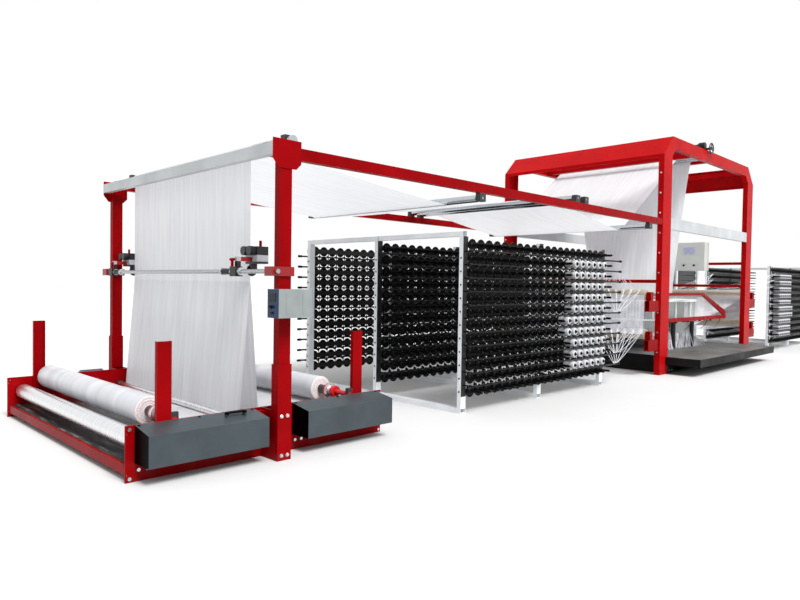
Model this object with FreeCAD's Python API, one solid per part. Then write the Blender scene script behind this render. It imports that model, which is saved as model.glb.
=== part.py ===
import FreeCAD
import Part
import math
import os

os.makedirs("parts", exist_ok=True)

# Circular power loom line, in mm: double cloth winder, overhead cloth rails, a creel each
# side of the loom and the loom under its gantry. X runs from the winder to the second creel,
# -Y is the operator side, +Z is up. The origin is on the floor under the middle of the line.

# ---- line
winder_length = 2630.0
winder_to_creel = 1350.0
creel_length = 3443.0
creel_to_gantry = 1840.0
gantry_length = 4737.0
running_gap = 0.05       # radial clearance of a journal in its bearing
soft_gap = 0.3           # clearance of cloth and tape to what carries it

# ---- winder
winder_width = 3233.0
plate_height = 435.0
plate_thick = 15.0
beam_size = 80.0
beam_z = 50.0
drum_r = 77.5
drum_x = 150.0
drum_z = 280.0
journal_r = 25.0
drum_to_roll = 250.0
roll_r = 130.0
roll_z = 430.0
core_r = 45.0
core_bore = 36.0
cloth_width = 2640.0
cloth_shift = 190.0      # cloth runs off centre, away from the operator
cover_length = 1040.0
cover_start = 70.0
cover_depth = 250.0
cover_height = 290.0
sheet_thick = 3.0
guard_width = 120.0
guard_top = 1060.0
guard_x = 250.0
mast_x = 1200.0
mast_width = 120.0
mast_depth = 80.0
mast_out = 253.0         # mast's outer face beyond the side plate
mast_top = 2600.0
sleeve_top = 830.0
top_beam_z = 2616.0
top_beam_height = 105.0
top_beam_depth = 60.0
top_roller_r = 45.0
slitter_z = 1630.0
rod_r = 20.0

# ---- overhead rails and cloth rollers
rail_top = 2747.0
rail_height = 109.0
rail_width = 70.0
idler_r = 45.0
idler_journal_r = 15.0

# ---- gantry
gantry_width = 3383.0
gantry_height = 4233.0
chamfer = 355.0
leg_x = 340.0
leg_y = 100.0
leg_wall = 8.0
roof_depth = 210.0
roof_wall = 8.0
nip_r = 70.0
nip_z = 4130.0
side_beam_z = 2580.0
side_beam_height = 205.0
tie_size = 60.0
bed_height = 310.0
bed_wall = 6.0
deck_thick = 6.0
platform_depth = 610.0
platform_height = 140.0
platform_inset = 240.0

# ---- loom head
ring_r = 1330.0
ring_width = 460.0
track_low_z = 860.0
track_high_z = 1260.0
track_thick = 40.0
reed_inset = 255.0       # reed, heald band and posts, in from the ring's rim
heald_inset = 160.0
heald_height = 210.0
spacer_inset = 40.0
spacer_r = 18.0
spacer_count = 16
reed_thick = 12.0
tube_base_z = 1420.0
tube_wall = 4.0
shuttle_count = 10
leg_count = 8
leg_inset = 90.0
post_r = 45.0
guard_rail_z = 880.0
guard_rail_height = 75.0
guard_rail_length = 3500.0

# ---- infeed
infeed_r = 90.0
infeed_out = 310.0
infeed_high = 1410.0
infeed_low = 730.0

# ---- creel
creel_height = 2113.0
creel_post_x = 90.0
creel_post_y = 60.0
creel_near_y = -1547.0
creel_mid_y = -60.0
creel_far_y = 1443.0
creel_rows = 12
row_first = 258.0
row_pitch = 160.0
creel_columns = 20
column_pitch = 165.0
row_rail_height = 70.0
row_rail_thick = 6.0
spindle_r = 17.0
spindle_length = 200.0
flange_gap = 6.0         # from a holder's flange to the middle between two holders
bobbin_r = 52.5
bobbin_length = 165.0
guide_bar_r = 12.0
guide_bar_out = 150.0
guide_bar_reach = 250.0

# ---- worked out
line_length = (winder_length + winder_to_creel + 2 * creel_length
               + 2 * creel_to_gantry + gantry_length)
x_front = -line_length / 2
x_winder_end = x_front + winder_length
x_creel_1 = x_winder_end + winder_to_creel
x_gantry = x_creel_1 + creel_length + creel_to_gantry
x_gantry_end = x_gantry + gantry_length
x_loom = (x_gantry + x_gantry_end) / 2
ring_in_r = ring_r - ring_width
reed_r = ring_r - reed_inset
y_plate = winder_width / 2
y_plate_in = y_plate - plate_thick
y_gantry = gantry_width / 2
y_rail = y_plate + rail_width
y_mast = y_plate + mast_out


def box(x0, x1, y0, y1, z0, z1):
    return Part.makeBox(x1 - x0, y1 - y0, z1 - z0, FreeCAD.Vector(x0, y0, z0))


def cyl_x(x0, x1, y, z, r):
    return Part.makeCylinder(r, x1 - x0, FreeCAD.Vector(x0, y, z), FreeCAD.Vector(1, 0, 0))


def cyl_y(x, z, r, y0, y1):
    return Part.makeCylinder(r, y1 - y0, FreeCAD.Vector(x, y0, z), FreeCAD.Vector(0, 1, 0))


def cyl_z(x, y, r, z0, z1):
    return Part.makeCylinder(r, z1 - z0, FreeCAD.Vector(x, y, z0), FreeCAD.Vector(0, 0, 1))


def fuse(shapes):
    return shapes[0].multiFuse(shapes[1:]).removeSplitter()


def prism(points, direction):
    """A closed outline of (x, y, z) points swept along a vector."""
    ring = [FreeCAD.Vector(*p) for p in points]
    face = Part.Face(Part.makePolygon(ring + ring[:1]))
    return face.extrude(FreeCAD.Vector(*direction))


def tube_x(x0, x1, y0, y1, z0, z1, wall):
    return box(x0, x1, y0, y1, z0, z1).cut(
        box(x0 - 1, x1 + 1, y0 + wall, y1 - wall, z0 + wall, z1 - wall))


def tube_y(x0, x1, y0, y1, z0, z1, wall):
    return box(x0, x1, y0, y1, z0, z1).cut(
        box(x0 + wall, x1 - wall, y0 - 1, y1 + 1, z0 + wall, z1 - wall))


def tube_z(x0, x1, y0, y1, z0, z1, wall):
    return box(x0, x1, y0, y1, z0, z1).cut(
        box(x0 + wall, x1 - wall, y0 + wall, y1 - wall, z0 - 1, z1 + 1))


def both_sides(shape):
    """The shape and its mirror image on the far side of the line."""
    return [shape, shape.mirror(FreeCAD.Vector(0, 0, 0), FreeCAD.Vector(0, 1, 0))]


def other_end(shape):
    """The shape mirrored to the other side of the loom."""
    return shape.mirror(FreeCAD.Vector(x_loom, 0, 0), FreeCAD.Vector(1, 0, 0))


def save(node, shapes):
    solids = [s for shape in shapes for s in shape.Solids]
    Part.makeCompound(solids).exportStep("parts/" + node + ".step")


def bolts_y(points, face_y, side):
    """Bolt heads on a face square to Y; side is -1 when they stand out towards -Y."""
    low = face_y if side > 0 else face_y - bolt_head
    return [cyl_y(x, z, bolt_r, low, low + bolt_head) for x, z in points]


bolt_r = 14.0
bolt_head = 10.0


def roller(x, z, r, y0, y1, journal, j0, j1):
    """A turned roller with a journal at each end, along Y."""
    return fuse([cyl_y(x, z, r, y0, y1), cyl_y(x, z, journal, j0, j1)])


def bearing_plate(x, z, journal, half, y0, y1):
    """A square bearing housing round a journal."""
    block = box(x - half, x + half, y0, y1, z - half, z + half)
    return block.cut(cyl_y(x, z, journal + running_gap, y0 - 1, y1 + 1))


# ================================================================ winder
x_drums = [x_front + drum_x, x_winder_end - drum_x]
x_rolls = [x_drums[0] + drum_to_roll, x_drums[1] - drum_to_roll]
x_mast = x_front + mast_x
cloth_y0 = cloth_shift - cloth_width / 2
cloth_y1 = cloth_shift + cloth_width / 2
bearing_wide = 25.0


def side_plates():
    plate = box(x_front, x_winder_end, -y_plate, -y_plate_in, 0, plate_height)
    for x in x_drums:
        plate = plate.cut(cyl_y(x, drum_z, journal_r + 5, -y_plate - 1, -y_plate_in + 1))
    for x, z in corner_bolts:
        plate = plate.cut(cyl_y(x, z, bolt_r / 2, -y_plate - 1, -y_plate_in + 1))
    return both_sides(plate)


corner_inset = 30.0
corner_bolts = [(x, z)
                for x in (x_front + corner_inset, x_winder_end - corner_inset)
                for z in (corner_inset, plate_height - corner_inset)]
low_bolts = [(x_front + cover_start + a, corner_inset + 60)
             for a in (30.0, 100.0, cover_length - 100, cover_length - 30)]
low_bolts += [(2 * x_front + winder_length - x, z) for x, z in low_bolts]


def winder_bolts():
    near = bolts_y(corner_bolts + low_bolts, -y_plate, -1)
    return [b for n in near for b in both_sides(n)]


def cross_beams():
    stations = [x_front + 15, x_front + winder_length * 0.42,
                x_winder_end - winder_length * 0.42 - beam_size, x_winder_end - 15 - beam_size]
    return [tube_y(x, x + beam_size, -y_plate_in, y_plate_in, beam_z, beam_z + beam_size, 5)
            for x in stations]


tray_thick = 4.0


def trays():
    z = beam_z + beam_size
    length = winder_length * 0.42 - 15
    front = box(x_front + 40, x_front + 15 + length, -y_plate_in, y_plate_in, z, z + tray_thick)
    rear = box(x_winder_end - 15 - length, x_winder_end - 40, -y_plate_in, y_plate_in, z, z + tray_thick)
    return [front, rear]


def drum(x):
    return roller(x, drum_z, drum_r, -y_plate_in + bearing_wide + 5, y_plate_in - bearing_wide - 5,
                  journal_r, -y_plate - sprocket_out, y_plate)


sprocket_out = 70.0
sprocket_r = 60.0
sprocket_wide = 14.0


def drum_bearings():
    near = [bearing_plate(x, drum_z, journal_r, 55, -y_plate_in, -y_plate_in + bearing_wide)
            for x in x_drums]
    return [s for n in near for s in both_sides(n)]


def drum_sprocket(x):
    y0 = -y_plate - sprocket_out + 5
    return cyl_y(x, drum_z, sprocket_r, y0, y0 + sprocket_wide).cut(
        cyl_y(x, drum_z, journal_r, y0 - 1, y0 + sprocket_wide + 1))


def cloth_roll(x):
    body = cyl_y(x, roll_z, roll_r, cloth_y0, cloth_y1)
    return body.cut(cyl_y(x, roll_z, core_r, cloth_y0 - 1, cloth_y1 + 1))


def roll_core(x):
    tube = cyl_y(x, roll_z, core_r, cloth_y0 - core_proud, cloth_y1 + core_proud_far)
    return tube.cut(cyl_y(x, roll_z, core_bore, -y_plate, y_plate))


core_proud = 120.0
core_proud_far = 20.0


def roll_chucks(x):
    """A stepped chuck in each end of the core, with the journal it turns on."""
    y0 = cloth_y0 - core_proud
    near = fuse([cyl_y(x, roll_z, core_bore, y0 - 20, y0 + 80),
                 cyl_y(x, roll_z, 70, y0 - 60, y0),
                 cyl_y(x, roll_z, 55, y0 - 130, y0 - 60),
                 cyl_y(x, roll_z, journal_r, -y_plate_in + 5, y0 - 130)])
    y1 = cloth_y1 + core_proud_far
    far = fuse([cyl_y(x, roll_z, core_bore, y1 - 60, y1 + 10),
                cyl_y(x, roll_z, journal_r, y1, y_plate_in - 5)])
    return [near, far]


roll_block = 40.0


def roll_bearings():
    """Housings inside the side plates, beside the guard posts, that carry the roll shafts."""
    blocks = []
    for x in x_rolls:
        half = drum_to_roll + drum_x - guard_x - guard_width
        block = box(x - half, x + half, -y_plate_in, -y_plate_in + roll_block,
                    roll_z - 60, roll_z + 60)
        block = block.cut(cyl_y(x, roll_z, journal_r + running_gap, -y_plate_in - 1,
                                -y_plate_in + roll_block + 1))
        blocks += both_sides(block)
    return blocks


def guard_posts():
    """Upright folded channels that keep the cloth rolls on the drums."""
    posts = []
    for x in (x_front + guard_x, x_winder_end - guard_x - guard_width):
        outer = box(x, x + guard_width, -y_plate_in, -y_plate_in + 40, plate_height - 140, guard_top)
        inner = box(x + 6, x + guard_width - 6, -y_plate_in + 6, -y_plate_in + 41,
                    plate_height - 141, guard_top + 1)
        posts += both_sides(outer.cut(inner))
    return posts


def gear_cover(x0):
    """A folded sheet box over the drives, open at the back, with a sloped top."""
    z0 = plate_height - cover_height
    z1 = plate_height
    y0 = -y_plate - cover_depth

    def outline(inset):
        return [(x0 + inset, -y_plate, z0 + inset), (x0 + inset, y0 + inset, z0 + inset),
                (x0 + inset, y0 + inset, z1 - 45 - inset), (x0 + inset, -y_plate, z1 - inset)]

    outer = prism(outline(0), (cover_length, 0, 0))
    return outer.cut(prism(outline(sheet_thick), (cover_length - 2 * sheet_thick, 0, 0)))


x_covers = [x_front + cover_start, x_winder_end - cover_start - cover_length]


def cover_handle():
    """A flush latch handle on the sloped top of the front cover."""
    x = x_covers[0] + cover_length - 330
    y = -y_plate - cover_depth * 0.45
    top = plate_height - 45 * 0.45
    seat = 25 * 45 / cover_depth
    return [fuse([box(x, x + 15, y - 25, y + 25, top + seat, top + 30),
                  box(x + 165, x + 180, y - 25, y + 25, top + seat, top + 30),
                  box(x, x + 180, y - 25, y + 25, top + 30, top + 42)])]


def mast_feet():
    """Deep folded base columns outside the side plates, with the sleeve round the mast."""
    x1 = x_mast + mast_width
    base = tube_z(x_mast - 10, x1 + 10, -y_mast, -y_plate, 0, plate_height, 8)
    sleeve = tube_z(x_mast - 10, x1 + 10, -y_mast, -y_mast + mast_depth + 20,
                    plate_height, sleeve_top, 10)
    return [s for b in (fuse([base, sleeve]),) for s in both_sides(b)]


def mast_tubes():
    y0 = -y_mast + 10
    return both_sides(tube_z(x_mast, x_mast + mast_width, y0, y0 + mast_depth,
                             plate_height, mast_top, 5))


bracket_length = 65.0


def foot_brackets():
    """Red angle blocks that tie each mast foot to its side plate."""
    near = box(x_mast - 10 - bracket_length, x_mast - 10, -y_plate - 60, -y_plate,
               plate_height - 220, plate_height - 20)
    return both_sides(near)


head_thick = 8.0
beam_gap = 20.0
x_rail = x_mast - beam_gap


def head_plates():
    """Gusseted plates on the mast tops that carry the cross beam and the rails."""
    y0 = -y_mast + 10
    x1 = x_mast + mast_width + 90
    x0 = x_mast - beam_gap - top_beam_depth
    y = y0 - head_thick
    low = top_beam_z - 105
    points = [(x0, y, low + 75), (x0 + 60, y, low), (x1 - 50, y, low), (x1, y, low + 50),
              (x1, y, rail_top + 10), (x0, y, rail_top + 10)]
    plate = prism(points, (0, head_thick, 0))
    return both_sides(plate)


def top_beam():
    x1 = x_mast - beam_gap
    return [tube_y(x1 - top_beam_depth, x1, -y_mast + 10, y_mast - 10,
                   top_beam_z, top_beam_z + top_beam_height, 4)]


# ================================================================ winder top and middle
cloth_thick = 2.0
roller_behind = 213.0    # top roller's axis behind the mast's front edge
x_top_roller = x_mast + roller_behind
z_top_roller = rail_top + 50
guide_r = 35.0
guide_z = 250.0
guide_reach = 141.0
x_hang = x_top_roller - top_roller_r - soft_gap - cloth_thick
x_guides = [x_hang - guide_reach, x_hang + guide_reach]
cap_r = 42.0


def top_roller():
    return roller(x_top_roller, z_top_roller, top_roller_r, -y_plate + 5, y_plate - 5,
                  idler_journal_r, -y_rail - 60, y_rail + 60)


def top_roller_caps():
    near = cyl_y(x_top_roller, z_top_roller, cap_r, -y_rail - 60, -y_rail - 10).cut(
        cyl_y(x_top_roller, z_top_roller, idler_journal_r, -y_rail - 61, -y_rail - 9))
    return both_sides(near)


def top_roller_bearings():
    near = bearing_plate(x_top_roller, z_top_roller, idler_journal_r, 50, -y_rail, -y_plate)
    return both_sides(near)


def guide_roller(x):
    return roller(x, guide_z, guide_r, -y_plate_in + bearing_wide + 5,
                  y_plate_in - bearing_wide - 5, idler_journal_r, -y_plate_in + 2, y_plate_in - 2)


def guide_bearings():
    near = [bearing_plate(x, guide_z, idler_journal_r, 40, -y_plate_in, -y_plate_in + bearing_wide)
            for x in x_guides]
    return [s for n in near for s in both_sides(n)]


gearbox_size = 150.0
motor_r = 75.0
motor_length = 260.0
drive_inset = 920.0
drive_apart = 20.0


def winder_gearboxes():
    """Worm gearboxes standing on the drip trays, beside the cloth."""
    y = cloth_y0 - drive_apart
    z = beam_z + beam_size + tray_thick
    return [box(x, x + gearbox_size, y - gearbox_size, y, z, z + gearbox_size)
            for x in (x_front + drive_inset, x_winder_end - drive_inset - gearbox_size)]


def winder_motors():
    motors = []
    for gearbox in winder_gearboxes():
        b = gearbox.BoundBox
        motors.append(cyl_y(b.Center.x, b.Center.z, motor_r, b.YMin - motor_length, b.YMin))
    return motors


# ================================================================ slitters
slit_x = x_mast - 45.0


def slitter_rod():
    return [cyl_y(slit_x, slitter_z, rod_r, -y_mast - 40, y_mast + 40)]


def slitter_clamps():
    """Two-part clamps bolted round the masts, with the ear that holds the rod."""
    y0 = -y_mast + 10
    ear = box(slit_x - 40, x_mast, y0 - 20, y0 + mast_depth + 20, slitter_z - 40, slitter_z + 40)
    strap = box(x_mast, x_mast + mast_width + 20, y0 - 20, y0 + mast_depth + 20,
                slitter_z - 40, slitter_z + 40)
    clamp = fuse([ear, strap])
    clamp = clamp.cut(box(x_mast, x_mast + mast_width, y0, y0 + mast_depth,
                          slitter_z - 50, slitter_z + 50))
    clamp = clamp.cut(cyl_y(slit_x, slitter_z, rod_r, y0 - 21, y0 + mast_depth + 21))
    return both_sides(clamp)


head_half = 100.0
head_apart = 15.0
slit_head_y = [cloth_y0 - head_apart - head_half, cloth_y1 + head_apart + head_half]
head_bottom = slitter_z + 75
head_depth = 60.0        # half the motor's depth, about the cloth's plane


def slitter_head(y):
    """A carriage on the rod, with the arm that reaches back to the cloth's plane."""
    carriage = box(slit_x - 45, slit_x + 30, y - 50, y + 50, slitter_z - 45, slitter_z + 45)
    carriage = carriage.cut(cyl_y(slit_x, slitter_z, rod_r + running_gap, y - 51, y + 51))
    upright = box(slit_x - 10, slit_x + 30, y - 20, y + 20, slitter_z + 45, head_bottom + 60)
    arm = box(slit_x + 30, x_hang - head_depth, y - 20, y + 20, head_bottom + 20, head_bottom + 60)
    return fuse([carriage, upright, arm])


def slitter_motor(y, side):
    """The cutter's motor beside the cloth's edge, with the lug that carries its blade."""
    body = box(x_hang - head_depth, x_hang + head_depth, y - head_half, y + head_half,
               head_bottom, head_bottom + 160)
    lug = box(x_hang - 30, x_hang + 30, min(y + side * 40, y + side * 80),
              max(y + side * 40, y + side * 80), slitter_z - 15, head_bottom)
    return fuse([body, lug])


def slitter_blade(y, side):
    """A round blade on its hub, against the lug and square to the cloth."""
    y0, y1 = sorted((y + side * 84, y + side * 90))
    return cyl_y(x_hang, slitter_z + 15, 55, y0, y1).cut(
        cyl_y(x_hang, slitter_z + 15, 8, y0 - 1, y1 + 1))


def slitter_hub(y, side):
    y0, y1 = sorted((y + side * 80, y + side * 94))
    return cyl_y(x_hang, slitter_z + 15, 8, y0, y1)


# ================================================================ control box on the near mast
case_z0 = 1238.0
case_z1 = 1479.0
case_length = 339.0
case_depth = 150.0
case_before = 108.0
panel_thick = 8.0
door_thick = 4.0
case_x = x_mast - case_before
case_y = -y_mast + 10 - case_depth
hinge_r = 5.0


def control_case():
    """A folded steel case bolted to the mast's outer face, open to the operator."""
    outer = box(case_x, case_x + case_length, case_y, case_y + case_depth, case_z0, case_z1)
    return [outer.cut(box(case_x + 3, case_x + case_length - 3, case_y - 1,
                          case_y + case_depth - 3, case_z0 + 3, case_z1 - 3))]


def control_panel():
    """The operator's face plate on the winder end of the case, with its screen and socket."""
    x0 = case_x - panel_thick
    panel = box(x0, case_x, case_y, case_y + case_depth, case_z0, case_z1)
    return [panel.cut(cyl_x(x0 - 1, x0 + 6, dial_y, dial_z, dial_pin_r + running_gap))]


def control_screen():
    x0 = case_x - panel_thick
    return [box(x0 - 4, x0, case_y + 30, case_y + 120, case_z1 - 105, case_z1 - 35)]


dial_y = case_y + 85
dial_z = case_z0 + 92
dial_r = 14.0
dial_pin_r = 4.0
switch_z = case_z0 + 42


def control_dial():
    x0 = case_x - panel_thick
    return [fuse([cyl_x(x0 - 22, x0 - soft_gap, dial_y, dial_z, dial_r),
                  cyl_x(x0 - 2, x0 + 5, dial_y, dial_z, dial_pin_r),
                  box(x0 - 26, x0 - 22, dial_y - 2, dial_y + 2, dial_z - 2, dial_z + dial_r)])]


def control_switch():
    x0 = case_x - panel_thick
    return [box(x0 - 14, x0, dial_y - 14, dial_y + 14, switch_z - 10, switch_z + 10)]


def control_door():
    """The grey door, hinged on its far edge."""
    y0 = case_y - door_thick - 1
    return [box(case_x, case_x + case_length, y0, y0 + door_thick, case_z0, case_z1)]


def door_hinges():
    x = case_x + case_length + hinge_r
    y = case_y - door_thick / 2 - 1
    pins = []
    for z in (case_z0 + 30, case_z1 - 70):
        pin = cyl_z(x, y, hinge_r, z, z + 40)
        leaf = box(x - hinge_r, x, case_y, case_y + 25, z, z + 40)
        pins.append(fuse([pin, leaf.translated(FreeCAD.Vector(hinge_r, 0, 0))]))
    return pins


# ================================================================ cloth
slit_gap = 0.25  # half the gap between the slit halves
z_slit = slitter_z - 90


def web(c1, r1, s1, c2, r2, s2, y0, y1):
    """A flat run of cloth from roller 1 to roller 2; s is +1 over a roller, -1 under it."""
    def reach(r, s):
        return r + soft_gap if s > 0 else -(r + soft_gap + cloth_thick)

    p, q = c1, c2
    for _ in range(6):
        length = math.hypot(q[0] - p[0], q[1] - p[1])
        n = (-(q[1] - p[1]) / length, (q[0] - p[0]) / length)
        p = (c1[0] + n[0] * reach(r1, s1), c1[1] + n[1] * reach(r1, s1))
        q = (c2[0] + n[0] * reach(r2, s2), c2[1] + n[1] * reach(r2, s2))
    t = (n[0] * cloth_thick, n[1] * cloth_thick)
    points = [p, q, (q[0] + t[0], q[1] + t[1]), (p[0] + t[0], p[1] + t[1])]
    return prism([(x, y0, z) for x, z in points], (0, y1 - y0, 0))


def hanging_cloth():
    return [box(x_hang, x_hang + cloth_thick, cloth_y0, cloth_y1, z_slit, z_top_roller)]


def lower_cloth():
    """The slit halves, down to the guide rollers and on to the front and rear rolls."""
    halves = []
    for side, x_guide, x_roll in ((-1, x_guides[0], x_rolls[0]), (1, x_guides[1], x_rolls[1])):
        x_low = x_guide - side * (guide_r + soft_gap)
        x_mid = x_hang + cloth_thick / 2
        t = -side * cloth_thick
        outline = [(x_mid - t / 2, z_slit), (x_low, guide_z), (x_low + t, guide_z),
                   (x_mid + side * slit_gap, z_slit)]
        halves.append(prism([(x, cloth_y0, z) for x, z in outline], (0, cloth_width, 0)))
        low, high = sorted([(x_guide, guide_z, guide_r), (x_roll, roll_z, roll_r)])
        halves.append(web(low[:2], low[2], -1, high[:2], high[2], -1, cloth_y0, cloth_y1))
    return halves


# ================================================================ overhead rails and idlers
idlers = {"a": (x_front + 4200, rail_top - rail_height - 60.0),
          "b1": (x_front + 6400, rail_top + 60.0),
          "b2": (x_front + 6640, rail_top + 60.0),
          "c": (x_front + 8800, rail_top - rail_height - 60.0)}


def overhead_rails():
    near = tube_x(x_rail, x_gantry, -y_rail, -y_plate, rail_top - rail_height, rail_top, 5)
    return both_sides(near)


def idler(name):
    x, z = idlers[name]
    return roller(x, z, idler_r, -y_plate + 15, y_plate - 15, idler_journal_r,
                  -y_rail + 2, y_rail - 2)


def idler_bearings():
    """Pillow blocks under or on the rails."""
    blocks = []
    for x, z in idlers.values():
        half = abs(z - rail_top) if z > rail_top else rail_top - rail_height - z
        block = box(x - 55, x + 55, -y_rail, -y_plate, z - 35 if z > rail_top else z - 40,
                    z + 40 if z > rail_top else z + half)
        if z > rail_top:
            block = box(x - 55, x + 55, -y_rail, -y_plate, z - half, z + 40)
        block = block.cut(cyl_y(x, z, idler_journal_r + running_gap, -y_rail - 1, -y_plate + 1))
        blocks += both_sides(block)
    return blocks


def overhead_cloth():
    """Flat cloth over and under the idlers, from the loom's side back to the winder."""
    over = [((x_top_roller, z_top_roller), top_roller_r, 1), (idlers["a"], idler_r, -1),
            (idlers["b1"], idler_r, 1), (idlers["b2"], idler_r, 1), (idlers["c"], idler_r, -1)]
    runs = []
    for (c1, r1, s1), (c2, r2, s2) in zip(over, over[1:]):
        runs.append(web(c1, r1, s1, c2, r2, s2, cloth_y0, cloth_y1))
    return runs


# ================================================================ gantry
z_corner = gantry_height - chamfer
z_roof_low = gantry_height - roof_depth
leg_stations = [x_gantry, x_gantry_end - leg_x]


def gantry_posts():
    """Folded channel legs, open towards the loom."""
    posts = []
    for x in leg_stations:
        leg = box(x, x + leg_x, -y_gantry, -y_gantry + leg_y, 0, z_corner)
        leg = leg.cut(box(x + leg_wall, x + leg_x - leg_wall, -y_gantry + leg_wall,
                          -y_gantry + leg_y + 1, -1, z_corner + 1))
        posts += both_sides(leg)
    return posts


def roof_outline(inset):
    x0, x1 = x_gantry, x_gantry_end
    a = inset * math.sqrt(2)
    top_in = a + chamfer - inset
    low_in = leg_x - a + (z_roof_low - z_corner) + inset
    return [(x0 + a, z_corner), (x0 + top_in, gantry_height - inset),
            (x1 - top_in, gantry_height - inset), (x1 - a, z_corner),
            (x1 - leg_x + a, z_corner), (x1 - low_in, z_roof_low + inset),
            (x0 + low_in, z_roof_low + inset), (x0 + leg_x - a, z_corner)]


def roof_sides():
    """Folded fascias with chamfered corners that join the legs along each side."""
    outer = prism([(x, -y_gantry, z) for x, z in roof_outline(0)], (0, leg_y, 0))
    inner = prism([(x, -y_gantry + roof_wall, z) for x, z in roof_outline(roof_wall)],
                  (0, leg_y, 0))
    return both_sides(outer.cut(inner))


roof_beam = 100.0
x_nip = x_loom - 330.0
roof_stations = [x_nip - 450, x_nip + 300, x_gantry_end - chamfer - roof_beam]


def roof_end_panels():
    """Sloped folded sheets that close the roof's chamfered ends, with a lip below."""
    y0 = -y_gantry + leg_y
    t = roof_wall
    points = [(x_gantry, z_corner - 60), (x_gantry, z_corner), (x_gantry + chamfer, gantry_height),
              (x_gantry + chamfer, gantry_height - t * 1.5), (x_gantry + t, z_corner - t * 0.5),
              (x_gantry + t, z_corner - 60)]
    panel = prism([(x, y0, z) for x, z in points], (0, -2 * y0, 0))
    return [panel, other_end(panel)]


def roof_cross_beams():
    y0 = -y_gantry + roof_wall
    beams = [tube_y(x, x + roof_beam, y0, -y0, z_roof_low + 40, z_roof_low + 140, 5)
             for x in roof_stations]
    return beams


nip_gap = 145.0
nip_journal = 25.0
nip_y = y_gantry - leg_y


def lower_nip():
    return roller(x_nip, nip_z, nip_r, -nip_y + 40, nip_y - 40, nip_journal,
                  -nip_y - 60, nip_y + 60)


def upper_nip():
    return roller(x_nip, nip_z + nip_gap, nip_r, -nip_y + 40, nip_y - 40, nip_journal,
                  -nip_y - 120, nip_y + 120)


def nip_frames():
    """Bearing frames that straddle the fascias and hold both nip rollers."""
    low, high = nip_z - 60, nip_z + nip_gap + 60
    y0 = -nip_y
    frame = box(x_nip - 80, x_nip + 80, y0, y0 + 25, low, high)
    frame = frame.cut(cyl_y(x_nip, nip_z, nip_journal + running_gap, y0 - 1, y0 + 26))
    frame = frame.cut(cyl_y(x_nip, nip_z + nip_gap, nip_journal + running_gap, y0 - 1, y0 + 26))
    return both_sides(frame)


wheel_r = 110.0


def nip_handwheel():
    """The black handwheel on the upper nip roller, operator side."""
    y0 = -nip_y - 120
    z = nip_z + nip_gap
    hub = cyl_y(x_nip, z, 30, y0 - 40, y0)
    rim = Part.makeTorus(wheel_r - 12, 12, FreeCAD.Vector(x_nip, y0 - 30, z),
                         FreeCAD.Vector(0, 1, 0))
    spokes = [box(x_nip - 8, x_nip + 8, y0 - 36, y0 - 24, z, z + wheel_r - 12).rotate(
        FreeCAD.Vector(x_nip, y0 - 30, z), FreeCAD.Vector(0, 1, 0), a) for a in (0, 120, 240)]
    return fuse([hub, rim] + spokes)


def nip_motor():
    """Geared motor standing on the far fascia, driving the upper nip roller."""
    y0 = nip_y + 30
    z = nip_z + nip_gap
    case = box(x_nip - 90, x_nip + 90, y0, y0 + 90, gantry_height, z + 110)
    case = case.cut(cyl_y(x_nip, z, nip_journal + 2, y0 - 1, y0 + 91))
    body = cyl_x(x_nip - 90 - 260, x_nip - 90, y0 + 45, gantry_height + 80, 75)
    return [case, body]


def side_beams():
    x0 = x_gantry + leg_x
    x1 = x_gantry_end - leg_x
    return both_sides(tube_x(x0, x1, -y_gantry, -y_gantry + 60, side_beam_z,
                             side_beam_z + side_beam_height, 4))


tie_levels = {"winder": [1620.0], "far": [1570.0, 2080.0]}


def tie_rails():
    y0 = -y_gantry + leg_wall
    x0 = x_gantry + leg_x / 2
    x1 = x_gantry_end - leg_x / 2 - tie_size
    rails = [tube_y(x0, x0 + tie_size, y0, -y0, z, z + tie_size, 4) for z in tie_levels["winder"]]
    rails += [tube_y(x1, x1 + tie_size, y0, -y0, z, z + tie_size, 4) for z in tie_levels["far"]]
    return rails


x_bed0 = x_gantry + leg_x
x_bed1 = x_gantry_end - leg_x


def bed_walls():
    walls = both_sides(box(x_bed0, x_bed1, -y_gantry, -y_gantry + bed_wall, 0,
                           bed_height - deck_thick))
    y0 = -y_gantry + leg_y
    walls += [box(x_bed0, x_bed0 + bed_wall, y0, -y0, 0, bed_height - deck_thick),
              box(x_bed1 - bed_wall, x_bed1, y0, -y0, 0, bed_height - deck_thick)]
    return walls


def bed_deck():
    return [box(x_bed0, x_bed1, -y_gantry, y_gantry, bed_height - deck_thick, bed_height)]


def platforms():
    x0 = x_gantry + platform_inset
    x1 = x_gantry_end - leg_x
    y1 = -y_gantry
    y0 = y1 - platform_depth
    slab = box(x0, x1, y0, y1, bed_height - platform_height, bed_height)
    slab = slab.cut(box(x0 + 5, x1 - 5, y0 + 5, y1 - 5, bed_height - platform_height - 1,
                        bed_height - 5))
    return both_sides(slab)


def platform_brackets():
    """Plate gussets that carry the platforms from the bed walls."""
    plates = []
    y1 = -y_gantry
    z1 = bed_height - platform_height
    for share in (0.1, 0.5, 0.9):
        x = x_bed0 + (x_bed1 - x_bed0) * share
        points = [(x, y1, 20), (x, y1, z1), (x, y1 - platform_depth * 0.8, z1)]
        plates += both_sides(prism(points, (10, 0, 0)))
    return plates


def gantry_bolts():
    near = bolts_y([(x_bed0 + a, z) for a in (60.0, 180.0) for z in (60.0,)], -y_gantry, -1)
    heads = [b for n in near for b in both_sides(n)]
    for y in (-y_gantry + leg_y / 2, y_gantry - leg_y / 2):
        for step in range(10):
            z = 400 + step * 350
            heads.append(cyl_x(x_gantry - bolt_head, x_gantry, y, z, bolt_r))
    return heads


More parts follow.
